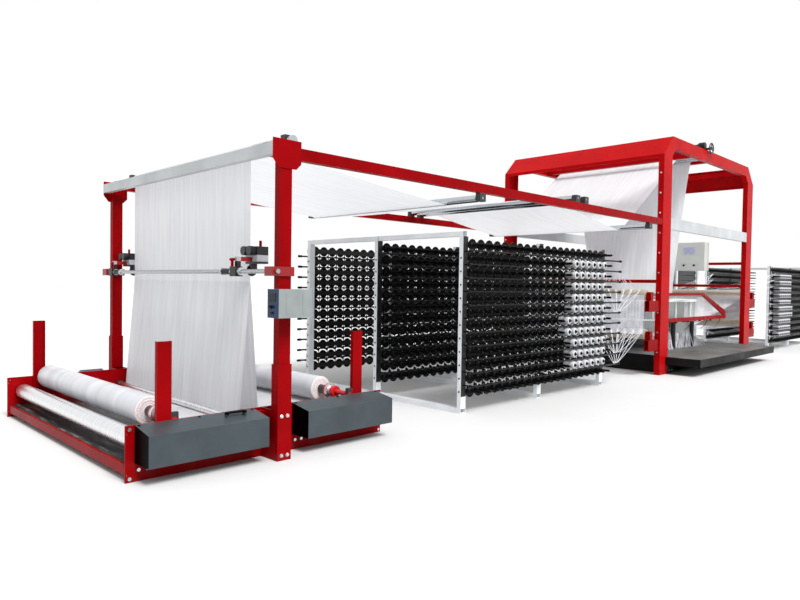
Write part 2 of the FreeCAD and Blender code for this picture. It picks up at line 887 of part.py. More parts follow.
# ================================================================ electrical cabinet
cab_width = 730.0
cab_depth = 250.0
cab_z0 = 1950.0
cab_z1 = 2600.0
cab_y = -860.0


def cabinet_case():
    """Steel cabinet hung on the far end's tie rail, its door towards the winder."""
    x1 = x_gantry_end - leg_x / 2 - tie_size
    case = box(x1 - cab_depth, x1, cab_y, cab_y + cab_width, cab_z0, cab_z1)
    return [case.cut(box(x1 - cab_depth - 1, x1 - 3, cab_y + 3, cab_y + cab_width - 3,
                         cab_z0 + 3, cab_z1 - 3))]


x_cab = x_gantry_end - leg_x / 2 - tie_size - cab_depth


def cabinet_door():
    x1 = x_cab - 1
    door = box(x1 - 20, x1, cab_y, cab_y + cab_width, cab_z0, cab_z1)
    for y in knob_places:
        door = door.cut(cyl_x(x1 - 21, x1 + 1, y, knob_z, 12 + running_gap))
    return [door]


knob_places = [cab_y + 230, cab_y + 460]
knob_z = cab_z0 + 120


def cabinet_knob(y):
    x1 = x_cab - 21
    return fuse([cyl_x(x1 - 30, x1 - 0.5, y, knob_z, 22), cyl_x(x1 - 1, x1 + 20, y, knob_z, 12)])


def cabinet_screen():
    x1 = x_cab - 21
    return [box(x1 - 6, x1, cab_y + 200, cab_y + 480, cab_z1 - 270, cab_z1 - 110)]


def cabinet_hinges():
    y = cab_y + cab_width + 6
    x = x_cab - 11
    hinges = []
    for z in (cab_z0 + 60, cab_z1 - 140):
        pin = cyl_z(x, y, 6, z, z + 80)
        leaf = box(x + 4, x_cab + 60, y - 6, y, z, z + 80)
        hinges.append(fuse([pin, leaf]))
    return hinges


# ================================================================ loom head
column_r = 160.0
hub_r = 220.0
rotor_z = 1000.0
shuttle_long = 420.0
shuttle_wide = 90.0
shuttle_tall = 90.0
shuttle_below = 40.0     # shuttle's underside below the rotor's plane
shuttle_r = ring_in_r + shuttle_wide
foot_r = 330.0
foot_height = 180.0
arm_width = 60.0
arm_thick = 20.0
hub_below = 40.0
hub_above = 60.0
ring_under = 60.0        # weaving ring's depth
ring_rim = 30.0
ring_plate = 20.0
column_bore = 60.0
main_motor_r = 110.0
main_motor_height = 330.0
main_motor_x = 700.0
main_motor_y = -350.0


def annulus(r_in, r_out, z0, z1):
    return cyl_z(x_loom, 0, r_out, z0, z1).cut(cyl_z(x_loom, 0, r_in, z0 - 1, z1 + 1))


def spin(shape, degrees):
    """A copy turned about the loom's axis."""
    copy = shape.copy()
    copy.rotate(FreeCAD.Vector(x_loom, 0, 0), FreeCAD.Vector(0, 0, 1), degrees)
    return copy


def loom_column():
    """Cast column standing on the deck, with the main gearbox at its foot."""
    z_foot = bed_height + foot_height
    return [fuse([cyl_z(x_loom, 0, foot_r, bed_height, z_foot),
                  cyl_z(x_loom, 0, column_r, z_foot, tube_base_z - ring_under)])]


def ring_legs():
    leg = cyl_z(x_loom + ring_r - leg_inset, 0, post_r, bed_height, track_low_z)
    return [spin(leg, 360.0 / leg_count * (i + 0.5)) for i in range(leg_count)]


def lower_track():
    return [annulus(ring_in_r, ring_r, track_low_z, track_low_z + track_thick)]


def upper_track():
    return [annulus(ring_in_r, ring_r, track_high_z, track_high_z + track_thick)]


def track_spacers():
    post = cyl_z(x_loom + ring_r - spacer_inset, 0, spacer_r, track_low_z + track_thick,
                 track_high_z)
    return [spin(post, 360.0 / spacer_count * i) for i in range(spacer_count)]


def reed_ring():
    return [annulus(reed_r, reed_r + reed_thick, track_low_z + track_thick, track_high_z)]


def heald_band():
    """The band of heald guides under the lower track."""
    r = ring_r - heald_inset
    return [annulus(r, r + reed_thick, track_low_z - heald_height, track_low_z)]


def weaving_ring():
    """The ring the cloth forms on, on its spoked plate above the column."""
    r = tube_base_r
    rim_in = r - ring_rim
    z0 = tube_base_z - ring_under
    plate = annulus(column_bore, rim_in, z0, z0 + ring_plate)
    rim = annulus(rim_in, r - tube_wall, z0, tube_base_z)
    return [fuse([plate, rim])]


tube_base_r = cloth_width / math.pi


def shuttle_rotor():
    """The driven spider that pushes the shuttles round the track."""
    hub = cyl_z(x_loom, 0, hub_r, rotor_z - hub_below, rotor_z + hub_above)
    arms = []
    for i in range(shuttle_count):
        arm = box(x_loom + hub_r - arm_thick, x_loom + shuttle_r - shuttle_wide / 2,
                  -arm_width / 2, arm_width / 2, rotor_z, rotor_z + arm_thick)
        arms.append(spin(arm, 360.0 / shuttle_count * i))
    rotor = fuse([hub] + arms)
    return [rotor.cut(cyl_z(x_loom, 0, column_r + running_gap, rotor_z - hub_below - 1,
                            rotor_z + hub_above + 1))]


def shuttles():
    """Boat shuttles with pointed ends, one at the end of each arm."""
    half = shuttle_long / 2
    side = shuttle_wide / 2
    z0 = rotor_z - shuttle_below
    x0 = x_loom + shuttle_r - side
    outline = [(0, -half * 0.6), (side, -half), (2 * side, -half * 0.6), (2 * side, half * 0.6),
               (side, half), (0, half * 0.6)]
    boat = prism([(x0 + x, y, z0) for x, y in outline], (0, 0, shuttle_tall))
    return [spin(boat, 360.0 / shuttle_count * i) for i in range(shuttle_count)]


def main_motor():
    return [cyl_z(x_loom + main_motor_x, main_motor_y, main_motor_r, bed_height,
                  bed_height + main_motor_height)]


guard_y = -ring_r - 60.0
guard_thick = 40.0
guard_high = 1390.0
guard_top_height = 50.0


def guard_rails():
    """Red welded guards along both sides of the ring, with a sloping end."""
    x0 = x_loom - guard_rail_length / 2
    x1 = x_loom + guard_rail_length / 2
    x2 = x_loom + 370
    z0 = guard_rail_z
    z1 = z0 + guard_rail_height
    top = guard_high + guard_top_height
    outer = [(x0, z0), (x1, z0), (x1, z1 + 90), (x2 + 50, top), (x0, top)]
    inner = [(x0 + 60, z1), (x1 - 110, z1), (x2 + 30, guard_high), (x0 + 60, guard_high)]
    loop = prism([(x, guard_y, z) for x, z in outer], (0, guard_thick, 0))
    loop = loop.cut(prism([(x, guard_y - 1, z) for x, z in inner], (0, guard_thick + 2, 0)))
    return both_sides(loop)


def guard_brackets():
    """Black brackets from under the track out to the guards."""
    near = []
    for x in (-900.0, -300.0, 300.0, 900.0):
        y_in = -math.sqrt((ring_r - spacer_inset) ** 2 - (abs(x) + 20) ** 2)
        arm = box(x_loom + x - 20, x_loom + x + 20, guard_y, y_in, track_low_z - 10, track_low_z)
        tab = box(x_loom + x - 20, x_loom + x + 20, guard_y, guard_y + guard_thick,
                  track_low_z, guard_rail_z)
        near.append(fuse([arm, tab]))
    return [b for n in near for b in both_sides(n)]


def facet_solid(lower, upper):
    """A closed solid of triangles between two outlines with as many points."""
    low = [FreeCAD.Vector(*p) for p in lower]
    high = [FreeCAD.Vector(*p) for p in upper]
    n = len(low)
    faces = [Part.Face(Part.makePolygon(low + low[:1])), Part.Face(Part.makePolygon(high + high[:1]))]
    for i in range(n):
        j = (i + 1) % n
        faces.append(Part.Face(Part.makePolygon([low[i], low[j], high[j], low[i]])))
        faces.append(Part.Face(Part.makePolygon([low[i], high[j], high[i], low[i]])))
    solid = Part.Solid(Part.Shell(faces))
    if solid.Volume < 0:
        solid.reverse()
    return solid


def tube_solid(inset, z0, z1):
    """The cloth tube as it flattens from the weaving ring to the nip."""
    n = 48
    lower, upper = [], []
    x_top = x_nip + nip_r + soft_gap + 14
    for i in range(n):
        a = 2 * math.pi * i / n
        r = tube_base_r - inset
        lower.append((x_loom + r * math.cos(a), r * math.sin(a), z0))
        upper.append((x_top + (5 - inset) * math.cos(a),
                      (cloth_width / 2 - inset * 4) * math.sin(a), z1))
    return facet_solid(lower, upper)


def cloth_tube():
    return [tube_solid(0, tube_base_z, nip_z).cut(tube_solid(tube_wall, tube_base_z, nip_z - 150))]


def rising_cloth():
    """Flat cloth from the nip down to the last idler."""
    return [web(idlers["c"], idler_r, -1, (x_nip, nip_z), nip_r, 1, -cloth_width / 2 + cloth_shift,
                cloth_width / 2 + cloth_shift)]


# ================================================================ infeed
x_infeed = x_gantry - infeed_out
bracket_reach = 420.0
infeed_journal = 20.0


def infeed_brackets():
    """Welded arms on the outer faces of the legs that carry the tape rollers."""
    near = []
    for z in (infeed_high, infeed_low):
        arm = box(x_gantry - bracket_reach, x_gantry, -y_gantry + 20, -y_gantry + leg_y,
                  z - 290, z - 100)
        near.append(arm.cut(box(x_gantry - bracket_reach - 1, x_gantry - 60, -y_gantry + 30,
                                -y_gantry + leg_y - 10, z - 291, z - 110)))
    arms = [b for n in near for b in both_sides(n)]
    return arms + [other_end(a) for a in arms]


def infeed_bearings():
    near = [box(x_infeed - 50, x_infeed + 50, -y_gantry + 20, -y_gantry + leg_y, z - 100, z + 50)
            .cut(cyl_y(x_infeed, z, infeed_journal + running_gap, -y_gantry + 19,
                       -y_gantry + leg_y + 1)) for z in (infeed_high, infeed_low)]
    blocks = [b for n in near for b in both_sides(n)]
    return blocks + [other_end(b) for b in blocks]


def infeed_roller(z):
    inner = y_gantry - leg_y
    return roller(x_infeed, z, infeed_r, -inner + 20, inner - 20, infeed_journal,
                  -inner - 70, inner + 70)


def tape_curtains():
    """Warp tapes side by side, from the upper tape roller down to the lower one."""
    inner = y_gantry - leg_y - 60
    x = x_infeed - infeed_r - soft_gap
    near = box(x - cloth_thick, x, -inner, inner, infeed_low, infeed_high)
    return [near, other_end(near)]


tape_band = 110.0


def warp_tapes():
    """Bundles of warp tape from each panel's guide bars to the upper tape roller."""
    x0 = x_creel_1 + creel_length + guide_bar_reach + soft_gap
    bands = []
    for y, side in panels.values():
        y_bar = y + side * (creel_post_y / 2 + guide_bar_out)
        y_end = max(-y_gantry + leg_y + 80, min(y_gantry - leg_y - 80 - tape_band, y_bar))
        z0 = row_levels[-3] + row_pitch / 2
        z1 = infeed_high + infeed_r + soft_gap
        lower = [(x0, y_bar - 6, z0), (x0, y_bar + 6, z0), (x0, y_bar + 6, z0 + 2),
                 (x0, y_bar - 6, z0 + 2)]
        upper = [(x_infeed, y_end, z1), (x_infeed, y_end + tape_band, z1),
                 (x_infeed, y_end + tape_band, z1 + 2), (x_infeed, y_end, z1 + 2)]
        bands.append(facet_solid(lower, upper))
    return bands


# ================================================================ creels
creel_posts_x = [creel_post_x / 2, creel_post_x / 2 + 1624.0, creel_length - creel_post_x / 2]
panels = {"near": (creel_near_y, -1), "middle": (creel_mid_y, -1), "far": (creel_far_y, 1)}
row_levels = [row_first + row_pitch * i for i in range(creel_rows)]
spindle_x0 = (creel_length - (creel_columns - 1) * column_pitch) / 2
spindle_flange_r = min(row_pitch, column_pitch) / 2 - flange_gap
spindle_columns = [x_creel_1 + spindle_x0 + column_pitch * i for i in range(creel_columns)]
base_height = 60.0


def creel_posts():
    posts = []
    for y, _ in panels.values():
        for x in creel_posts_x:
            posts.append(tube_z(x_creel_1 + x - creel_post_x / 2, x_creel_1 + x + creel_post_x / 2,
                                y - creel_post_y / 2, y + creel_post_y / 2,
                                base_height, creel_height, 4))
    return posts


def creel_ties():
    """Floor rails under the posts and the bar across the tops at the open end."""
    y0 = creel_near_y - creel_post_y / 2
    y1 = creel_far_y + creel_post_y / 2
    ties = []
    for x in creel_posts_x:
        ties.append(tube_y(x_creel_1 + x - creel_post_x / 2, x_creel_1 + x + creel_post_x / 2,
                           y0, y1, 0, base_height, 4))
    x = x_creel_1
    ties.append(tube_y(x, x + 60, y0, y1, creel_height, creel_height + 60, 4))
    return ties


def creel_row_rails():
    rails = []
    for y, side in panels.values():
        face = y + side * creel_post_y / 2
        y0, y1 = sorted((face, face + side * row_rail_thick))
        for z in row_levels:
            rails.append(box(x_creel_1, x_creel_1 + creel_length, y0, y1,
                             z - row_rail_height / 2, z + row_rail_height / 2))
    return rails


def spindle(x, y, z, side):
    """A moulded bobbin holder: flange, barrel and a tapered nose."""
    axis = FreeCAD.Vector(0, side, 0)
    flange = Part.makeCylinder(spindle_flange_r, 6, FreeCAD.Vector(x, y, z), axis)
    barrel = Part.makeCylinder(spindle_r, spindle_length - 15, FreeCAD.Vector(x, y, z), axis)
    nose = Part.makeCone(spindle_r, spindle_r * 0.6, 15,
                         FreeCAD.Vector(x, y + side * (spindle_length - 15), z), axis)
    return fuse([flange, barrel, nose])


def creel_spindles(panel):
    y, side = panels[panel]
    face = y + side * (creel_post_y / 2 + row_rail_thick)
    first = spindle(0, 0, 0, side)
    return [first.translated(FreeCAD.Vector(x, face, z)) for z in row_levels
            for x in spindle_columns]


full_rows = range(1, 11)
full_columns = range(13, 19)
long_rows = (4, 5)


def tape_bobbins():
    """Full packages of white tape on the near panel's holders."""
    face = creel_near_y - creel_post_y / 2 - row_rail_thick - 6
    first = cyl_y(0, 0, bobbin_r, -bobbin_length, 0).cut(
        cyl_y(0, 0, spindle_r + running_gap, -bobbin_length - 1, 1))
    places = [(row, column) for row in full_rows for column in full_columns]
    places += [(row, full_columns[0] - 1) for row in long_rows]
    return [first.translated(FreeCAD.Vector(spindle_columns[c], face, row_levels[r]))
            for r, c in places]


def guide_bars():
    """Black tape guide bars between the rows, welded to their arms on the posts."""
    bars = []
    for y, side in panels.values():
        face = y + side * creel_post_y / 2
        y_bar = face + side * guide_bar_out
        for z in row_levels[:-1]:
            level = z + row_pitch / 2
            bar = cyl_x(x_creel_1, x_creel_1 + creel_length + guide_bar_reach, y_bar, level,
                        guide_bar_r)
            arms = []
            for x in creel_posts_x:
                y0, y1 = sorted((face, y_bar))
                arms.append(box(x_creel_1 + x - 4, x_creel_1 + x + 4, y0, y1, level - 8, level + 8))
            bars.append(fuse([bar] + arms))
    return bars


# ================================================================ write the nodes
def two_creels(shapes):
    return shapes + [other_end(shape) for shape in shapes]


save("winder_frame", side_plates() + cross_beams())
save("drip_trays", trays())
save("bearing_housings", drum_bearings() + guide_bearings() + roll_bearings()
     + idler_bearings() + top_roller_bearings())
save("guard_posts", guard_posts())
save("gear_covers", [gear_cover(x) for x in x_covers] + cover_handle())
save("masts", mast_feet() + foot_brackets() + mast_tubes() + head_plates())
save("white_beams", top_beam() + side_beams())
save("winder_drives", winder_gearboxes() + winder_motors())
for name, i in (("front", 0), ("rear", 1)):
    save(name + "_drum", [drum(x_drums[i]), drum_sprocket(x_drums[i])])
    save(name + "_cloth_roll", [cloth_roll(x_rolls[i])])
    save(name + "_roll_shaft", [roll_core(x_rolls[i])] + roll_chucks(x_rolls[i]))
    save(name + "_guide_roller", [guide_roller(x_guides[i])])
save("top_roller", [top_roller()] + top_roller_caps())
save("slitter_rod", slitter_rod() + slitter_clamps())
for name, y, side in zip(("near", "far"), slit_head_y, (1, -1)):
    save(name + "_slitter", [slitter_head(y), slitter_motor(y, side), slitter_blade(y, side),
                              slitter_hub(y, side)])
save("control_case", control_case() + door_hinges())
save("control_panel", control_panel() + control_screen() + control_switch())
save("control_dial", control_dial())
save("control_door", control_door())
save("cloth_at_winder", hanging_cloth() + lower_cloth())
save("overhead_cloth", overhead_cloth() + rising_cloth())
save("overhead_rails", overhead_rails())
for name in idlers:
    save("idler_" + name, [idler(name)])
save("gantry_frame", gantry_posts() + tie_rails())
save("gantry_roof", roof_sides() + roof_end_panels() + roof_cross_beams())
save("fasteners", winder_bolts() + gantry_bolts())
save("nip_frames", nip_frames() + nip_motor())
save("lower_nip_roller", [lower_nip()])
save("upper_nip_roller", [upper_nip(), nip_handwheel()])
save("loom_bed", bed_walls() + bed_deck() + platforms() + platform_brackets())
save("cabinet_case", cabinet_case() + cabinet_hinges())
save("cabinet_door", cabinet_door() + cabinet_screen())
for i, y in enumerate(knob_places):
    save("cabinet_knob_" + str(i + 1), [cabinet_knob(y)])
save("loom_column", loom_column() + weaving_ring() + main_motor())
save("loom_tracks", ring_legs() + lower_track() + track_spacers() + upper_track())
save("reed_ring", reed_ring() + heald_band())
save("shuttle_rotor", shuttle_rotor())
save("shuttles", shuttles())
save("guards", guard_rails() + guard_brackets())
save("cloth_tube", cloth_tube())
save("infeed_brackets", infeed_brackets() + infeed_bearings())
save("tape_curtains", tape_curtains() + two_creels(warp_tapes()))
for name, z in (("upper", infeed_high), ("lower", infeed_low)):
    save("tape_roller_1_" + name, [infeed_roller(z)])
    save("tape_roller_2_" + name, [other_end(infeed_roller(z))])
save("creel_frames", two_creels(creel_posts() + creel_ties() + creel_row_rails()))
all_spindles = [s for panel in panels for s in creel_spindles(panel)]
save("creel_1_spindles", all_spindles)
save("creel_2_spindles", [other_end(s) for s in all_spindles])
save("tape_bobbins", two_creels(tape_bobbins()))
save("guide_bars", two_creels(guide_bars()))
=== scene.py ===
import math
import random

import bmesh
import bpy
from mathutils import Matrix, Vector


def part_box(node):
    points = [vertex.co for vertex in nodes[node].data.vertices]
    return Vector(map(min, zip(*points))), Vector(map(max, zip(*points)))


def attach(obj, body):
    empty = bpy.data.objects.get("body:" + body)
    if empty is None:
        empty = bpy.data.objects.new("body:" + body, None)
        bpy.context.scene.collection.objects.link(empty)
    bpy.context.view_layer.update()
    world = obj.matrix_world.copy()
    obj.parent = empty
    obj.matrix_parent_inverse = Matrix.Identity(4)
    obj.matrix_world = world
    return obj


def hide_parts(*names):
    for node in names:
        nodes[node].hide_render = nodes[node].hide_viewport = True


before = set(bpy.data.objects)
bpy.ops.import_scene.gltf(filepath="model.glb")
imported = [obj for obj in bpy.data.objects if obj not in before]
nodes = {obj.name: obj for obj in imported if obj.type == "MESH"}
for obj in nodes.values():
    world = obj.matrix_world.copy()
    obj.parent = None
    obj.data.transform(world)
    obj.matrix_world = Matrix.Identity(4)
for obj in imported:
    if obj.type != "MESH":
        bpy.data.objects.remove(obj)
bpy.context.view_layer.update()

# ---- studio: floor, light and camera
# A pale painted studio floor, a bright even surround and one broad soft light from the
# operator's side. The camera stands low off the winder's near corner.


def srgb(text):
    """A #rrggbb colour as the linear RGBA that a shader takes."""
    parts = [int(text[i:i + 2], 16) / 255 for i in (1, 3, 5)]
    return tuple(c / 12.92 if c <= 0.04045 else ((c + 0.055) / 1.055) ** 2.4 for c in parts) + (1,)


def add(tree, kind, inputs=None, **settings):
    """Add one node; each input is a value, or another node's output to link."""
    node = tree.nodes.new(kind)
    for key, value in settings.items():
        setattr(node, key, value)
    for key, value in (inputs or {}).items():
        if isinstance(value, bpy.types.NodeSocket):
            tree.links.new(value, node.inputs[key])
        else:
            node.inputs[key].default_value = value
    return node


def finish_of(name, roughness, metallic=0.0, ior=None, gloss=0.5):
    """A new material: its tree, its shader and the position that its patterns run on."""
    material = bpy.data.materials.new(name)
    material.use_nodes = True
    tree = material.node_tree
    shader = tree.nodes["Principled BSDF"]
    shader.inputs["Roughness"].default_value = roughness
    shader.inputs["Metallic"].default_value = metallic
    if ior:
        shader.inputs["IOR"].default_value = ior
        shader.inputs["Specular IOR Level"].default_value = gloss
    place = add(tree, "ShaderNodeTexCoord").outputs["Object"]
    return material, tree, shader, place


def blend_colours(tree, factor, low, high):
    """The colour between two sRGB colours, or two outputs, by a factor."""
    mix = add(tree, "ShaderNodeMix", {0: factor,
                                      6: srgb(low) if isinstance(low, str) else low,
                                      7: srgb(high) if isinstance(high, str) else high},
              data_type="RGBA")
    return mix.outputs[2]


def paint(tree, shader, factor, low, high):
    """Colour a shader between two sRGB colours, or two outputs, by a factor."""
    tree.links.new(blend_colours(tree, factor, low, high), shader.inputs["Base Color"])


def new_piece(name, verts, faces, material, smooth=False):
    """A new mesh piece in metres, with its faces turned outward."""
    mesh = bpy.data.meshes.new(name)
    mesh.from_pydata([tuple(v) for v in verts], [], faces)
    shape = bmesh.new()
    shape.from_mesh(mesh)
    bmesh.ops.recalc_face_normals(shape, faces=shape.faces)
    shape.to_mesh(mesh)
    shape.free()
    for face in mesh.polygons:
        face.use_smooth = smooth
    piece = bpy.data.objects.new(name, mesh)
    bpy.context.scene.collection.objects.link(piece)
    mesh.materials.append(material)
    return piece


floor_paint, tree, shader, place = finish_of("matt studio floor paint", 0.75)
# roller marks of about 1 m, barely there
marks = add(tree, "ShaderNodeTexNoise", {"Vector": place, "Scale": 1.0, "Detail": 2.0})
paint(tree, shader, marks.outputs["Fac"], "#bebebe", "#c4c4c4")
reach = 90.0
floor = new_piece("studio_floor", [(-reach, -reach, 0), (reach, -reach, 0), (reach, reach, 0),
                                   (-reach, reach, 0)], [(0, 1, 2, 3)], floor_paint)

world = bpy.data.worlds.new("studio surround")
world.use_nodes = True
surround = world.node_tree.nodes["Background"]
surround.inputs["Color"].default_value = (1.0, 1.0, 1.0, 1.0)
surround.inputs["Strength"].default_value = 1.0
bpy.context.scene.world = world
bpy.context.scene.view_settings.view_transform = "Standard"

lamp = bpy.data.lights.new("broad soft light", "SUN")
lamp.energy = 4.4
lamp.angle = math.radians(25)
light = bpy.data.objects.new("broad_soft_light", lamp)
light.rotation_euler = Vector((-0.1, -0.75, 1.0)).to_track_quat("Z", "Y").to_euler()
bpy.context.scene.collection.objects.link(light)

yaw, pitch, roll = (math.radians(a) for a in (45.137, -1.442, -0.859))
ahead = Vector((math.cos(yaw) * math.cos(pitch), math.sin(yaw) * math.cos(pitch),
                math.sin(pitch)))
right = Vector((math.sin(yaw), -math.cos(yaw), 0))
up = right.cross(ahead)
right, up = (right * math.cos(roll) - up * math.sin(roll),
             up * math.cos(roll) + right * math.sin(roll))
eye = Vector((-11.6045, -6.4985, 1.54))
camera_data = bpy.data.cameras.new("camera")
camera_data.sensor_width = 36.0
camera_data.lens = 29.135
camera_data.clip_end = 300.0
camera = bpy.data.objects.new("camera", camera_data)
camera.matrix_world = Matrix((
    (right.x, up.x, -ahead.x, eye.x), (right.y, up.y, -ahead.y, eye.y),
    (right.z, up.z, -ahead.z, eye.z), (0, 0, 0, 1)))
bpy.context.scene.collection.objects.link(camera)
bpy.context.scene.camera = camera

# ---- winder frame, guard posts and masts
# Side plates, beams, guard posts and masts are folded and welded mild steel sheet, powder
# coated in one red and bolted together on the floor.


def dress(material, *names):
    """Give CAD parts their finish."""
    for name in names:
        slots = nodes[name].data.materials
        slots.clear()
        slots.append(material)


def spread(tree, value, low, high, to_low=0.0, to_high=1.0):
    """Move a value's range low..high to to_low..to_high, held at its ends."""
    return add(tree, "ShaderNodeMapRange", {"Value": value, "From Min": low, "From Max": high,
                                            "To Min": to_low, "To Max": to_high}).outputs["Result"]


def vary_gloss(tree, shader, value, low, high, smoothest, roughest):
    """Let the roughness follow a value's range low..high."""
    rough = spread(tree, value, low, high, smoothest, roughest)
    tree.links.new(rough, shader.inputs["Roughness"])


def bump(tree, shader, height, distance, strength=1.0):
    """Raise the surface by a pattern of heights, in metres at its full value."""
    relief = add(tree, "ShaderNodeBump", {"Height": height, "Distance": distance,
                                          "Strength": strength})
    tree.links.new(relief.outputs["Normal"], shader.inputs["Normal"])


def orange_peel(tree, shader, place, strength=0.4):
    """The skin, about 3 mm from bump to bump, that sprayed coats dry with."""
    peel = add(tree, "ShaderNodeTexNoise", {"Vector": place, "Scale": 330.0, "Detail": 1.0})
    bump(tree, shader, peel.outputs["Fac"], 0.0004, strength)


# powder coat: dielectric, half gloss over a deep red, with cloudy depth about half a
# metre across and an orange peel of about 3 mm
def red_coat(name, deep, bright):
    """The machine's red, from a deep to a bright tone, with dust near the floor."""
    material, tree, shader, place = finish_of(name, 0.3, ior=1.4, gloss=0.05)
    cloud = add(tree, "ShaderNodeTexNoise", {"Vector": place, "Scale": 2.2, "Detail": 5.0})
    coat = blend_colours(tree, spread(tree, cloud.outputs["Fac"], 0.35, 0.68), deep, bright)
    height = add(tree, "ShaderNodeSeparateXYZ", {"Vector": place}).outputs["Z"]
    dust = add(tree, "ShaderNodeTexNoise", {"Vector": place, "Scale": 5.0, "Detail": 7.0})
    low = spread(tree, height, 0.0, 0.3, 0.3, 0.0)
    dusty = add(tree, "ShaderNodeMath", {0: low,
                                         1: spread(tree, dust.outputs["Fac"], 0.4, 0.75)},
                operation="MULTIPLY").outputs[0]
    paint(tree, shader, dusty, coat, "#7a3a38")
    vary_gloss(tree, shader, dust.outputs["Fac"], 0.3, 0.75, 0.24, 0.4)
    orange_peel(tree, shader, place, 0.5)
    return material


# the gantry has the same kind of coat, painted a brighter red as painted light on its sunlit faces
red_paint = red_coat("red powder coat on steel", "#740104", "#860207")
painted_light_gantry_red = red_coat("red powder coat brightened as painted light", "#950206", "#a40409")
dress(red_paint, "winder_frame", "guard_posts", "masts", "overhead_rails", "nip_frames",
      "guards", "infeed_brackets")
dress(painted_light_gantry_red, "gantry_frame", "gantry_roof")

# zinc plate: blue-white metal, a little uneven in gloss from bolt to bolt
zinc, tree, shader, place = finish_of("bright zinc plate", 0.3, metallic=1.0)
cells = add(tree, "ShaderNodeTexNoise", {"Vector": place, "Scale": 60.0, "Detail": 2.0})
paint(tree, shader, cells.outputs["Fac"], "#b9bcc0", "#e4e6e8")
vary_gloss(tree, shader, cells.outputs["Fac"], 0.3, 0.7, 0.22, 0.4)
dress(zinc, "fasteners")


def turned(profile, around, centre, axis, turn=0.0):
    """Rings of points for a shape turned about an axis, from (radius, distance) pairs."""
    axis = Vector(axis)
    side = Vector((axis.y, axis.z, axis.x))
    other = axis.cross(side)
    angles = [turn + 2 * math.pi * k / around for k in range(around)]
    return [Vector(centre) + axis * d + side * (r * math.cos(a)) + other * (r * math.sin(a))
            for r, d in profile for a in angles]


def ring_faces(first, rings, around, ends="capped"):
    """Faces between rings of points, with the ends capped, open, or joined to each other."""
    steps = rings if ends == "joined" else rings - 1
    faces = [(first + i * around + k, first + i * around + (k + 1) % around,
              first + (i + 1) % rings * around + (k + 1) % around,
              first + (i + 1) % rings * around + k)
             for i in range(steps) for k in range(around)]
    if ends == "capped":
        last = first + (rings - 1) * around
        faces += [tuple(first + k for k in range(around - 1, -1, -1)),
                  tuple(last + k for k in range(around))]
    return faces


def hex_bolts(name, places, along, across=0.024, tall=0.012, body="root",
              material=None):
    """Hexagon bolt heads with a washer and a domed top, standing out along +-X, +-Y or +-Z."""
    washer = [(across * 0.68, 0.0), (across * 0.68, 0.002)]
    head = [(across * 0.5, 0.0021), (across * 0.577, 0.004), (across * 0.577, tall * 0.85),
            (across * 0.47, tall)]
    verts, faces = [], []
    for number, centre in enumerate(places):
        tightened = math.radians(number * 37 % 60)
        for profile, around, turn in ((washer, 16, 0.0), (head, 6, tightened)):
            faces += ring_faces(len(verts), len(profile), around)
            verts += turned(profile, around, centre, along, turn)
    piece = new_piece(name, verts, faces, material or zinc)
    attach(piece, body)
    return piece

# ---- drums, guide rollers and their trays
# The surface drums and the small guide rollers are drawn steel tube, turned and buffed; the
# oily trays under them are cold rolled sheet, scuffed by years of rolls being dragged out.

# turned steel: long faint rings round the roller, about 25 mm apart, and a satin gloss
turned_steel, tree, shader, place = finish_of("turned steel roller", 0.3, metallic=1.0)
along = add(tree, "ShaderNodeMapping", {"Vector": place, "Scale": (0.0, 1.0, 0.0)})
rings = add(tree, "ShaderNodeTexNoise", {"Vector": along.outputs["Vector"], "Scale": 40.0,
                                         "Detail": 4.0})
paint(tree, shader, spread(tree, rings.outputs["Fac"], 0.35, 0.65), "#dadde0", "#f6f7f8")
vary_gloss(tree, shader, rings.outputs["Fac"], 0.3, 0.7, 0.2, 0.38)
bump(tree, shader, rings.outputs["Fac"], 0.0001, 0.1)
dress(turned_steel, "front_drum", "rear_drum", "front_guide_roller", "rear_guide_roller")

# cold rolled sheet: brown-black mill skin with pale scuffs that run the way rolls are moved
scuffed_sheet, tree, shader, place = finish_of("oiled cold rolled sheet", 0.45, metallic=0.6)
drag = add(tree, "ShaderNodeMapping", {"Vector": place, "Scale": (1.0, 0.12, 1.0)})
scuffs = add(tree, "ShaderNodeTexNoise", {"Vector": drag.outputs["Vector"], "Scale": 16.0,
                                          "Detail": 9.0, "Roughness": 0.7})
paint(tree, shader, spread(tree, scuffs.outputs["Fac"], 0.5, 0.72), "#2c2a29", "#a9a6a2")
vary_gloss(tree, shader, scuffs.outputs["Fac"], 0.4, 0.7, 0.3, 0.6)
dress(scuffed_sheet, "drip_trays")

# cast iron housings: black enamel over a sand-cast skin, so a soft 2 mm grain
cast_iron, tree, shader, place = finish_of("black enamelled cast iron", 0.42, ior=1.5)
grain = add(tree, "ShaderNodeTexNoise", {"Vector": place, "Scale": 480.0, "Detail": 3.0})
cloud = add(tree, "ShaderNodeTexNoise", {"Vector": place, "Scale": 9.0, "Detail": 3.0})
paint(tree, shader, cloud.outputs["Fac"], "#121315", "#2b2d30")
bump(tree, shader, grain.outputs["Fac"], 0.0006, 0.6)
dress(cast_iron, "bearing_housings")

# ---- winding motors
# Two geared motors stand on the drip trays, beside the cloth on the operator's side. They are
# painted with a hammered blue-grey machine enamel.
machine_enamel, tree, shader, place = finish_of("hammered machine enamel", 0.38, ior=1.5)
hammer = add(tree, "ShaderNodeTexVoronoi", {"Vector": place, "Scale": 160.0})
paint(tree, shader, hammer.outputs["Distance"], "#33404d", "#5c6a76")
bump(tree, shader, hammer.outputs["Distance"], 0.0008, 0.5)
dress(machine_enamel, "winder_drives")

# ---- cloth rolls on their cores
# Tubular fabric woven from polypropylene tape, wound wide and tight on black paper cores.
# The chucks that carry the cores are red castings with a bright turned collar.

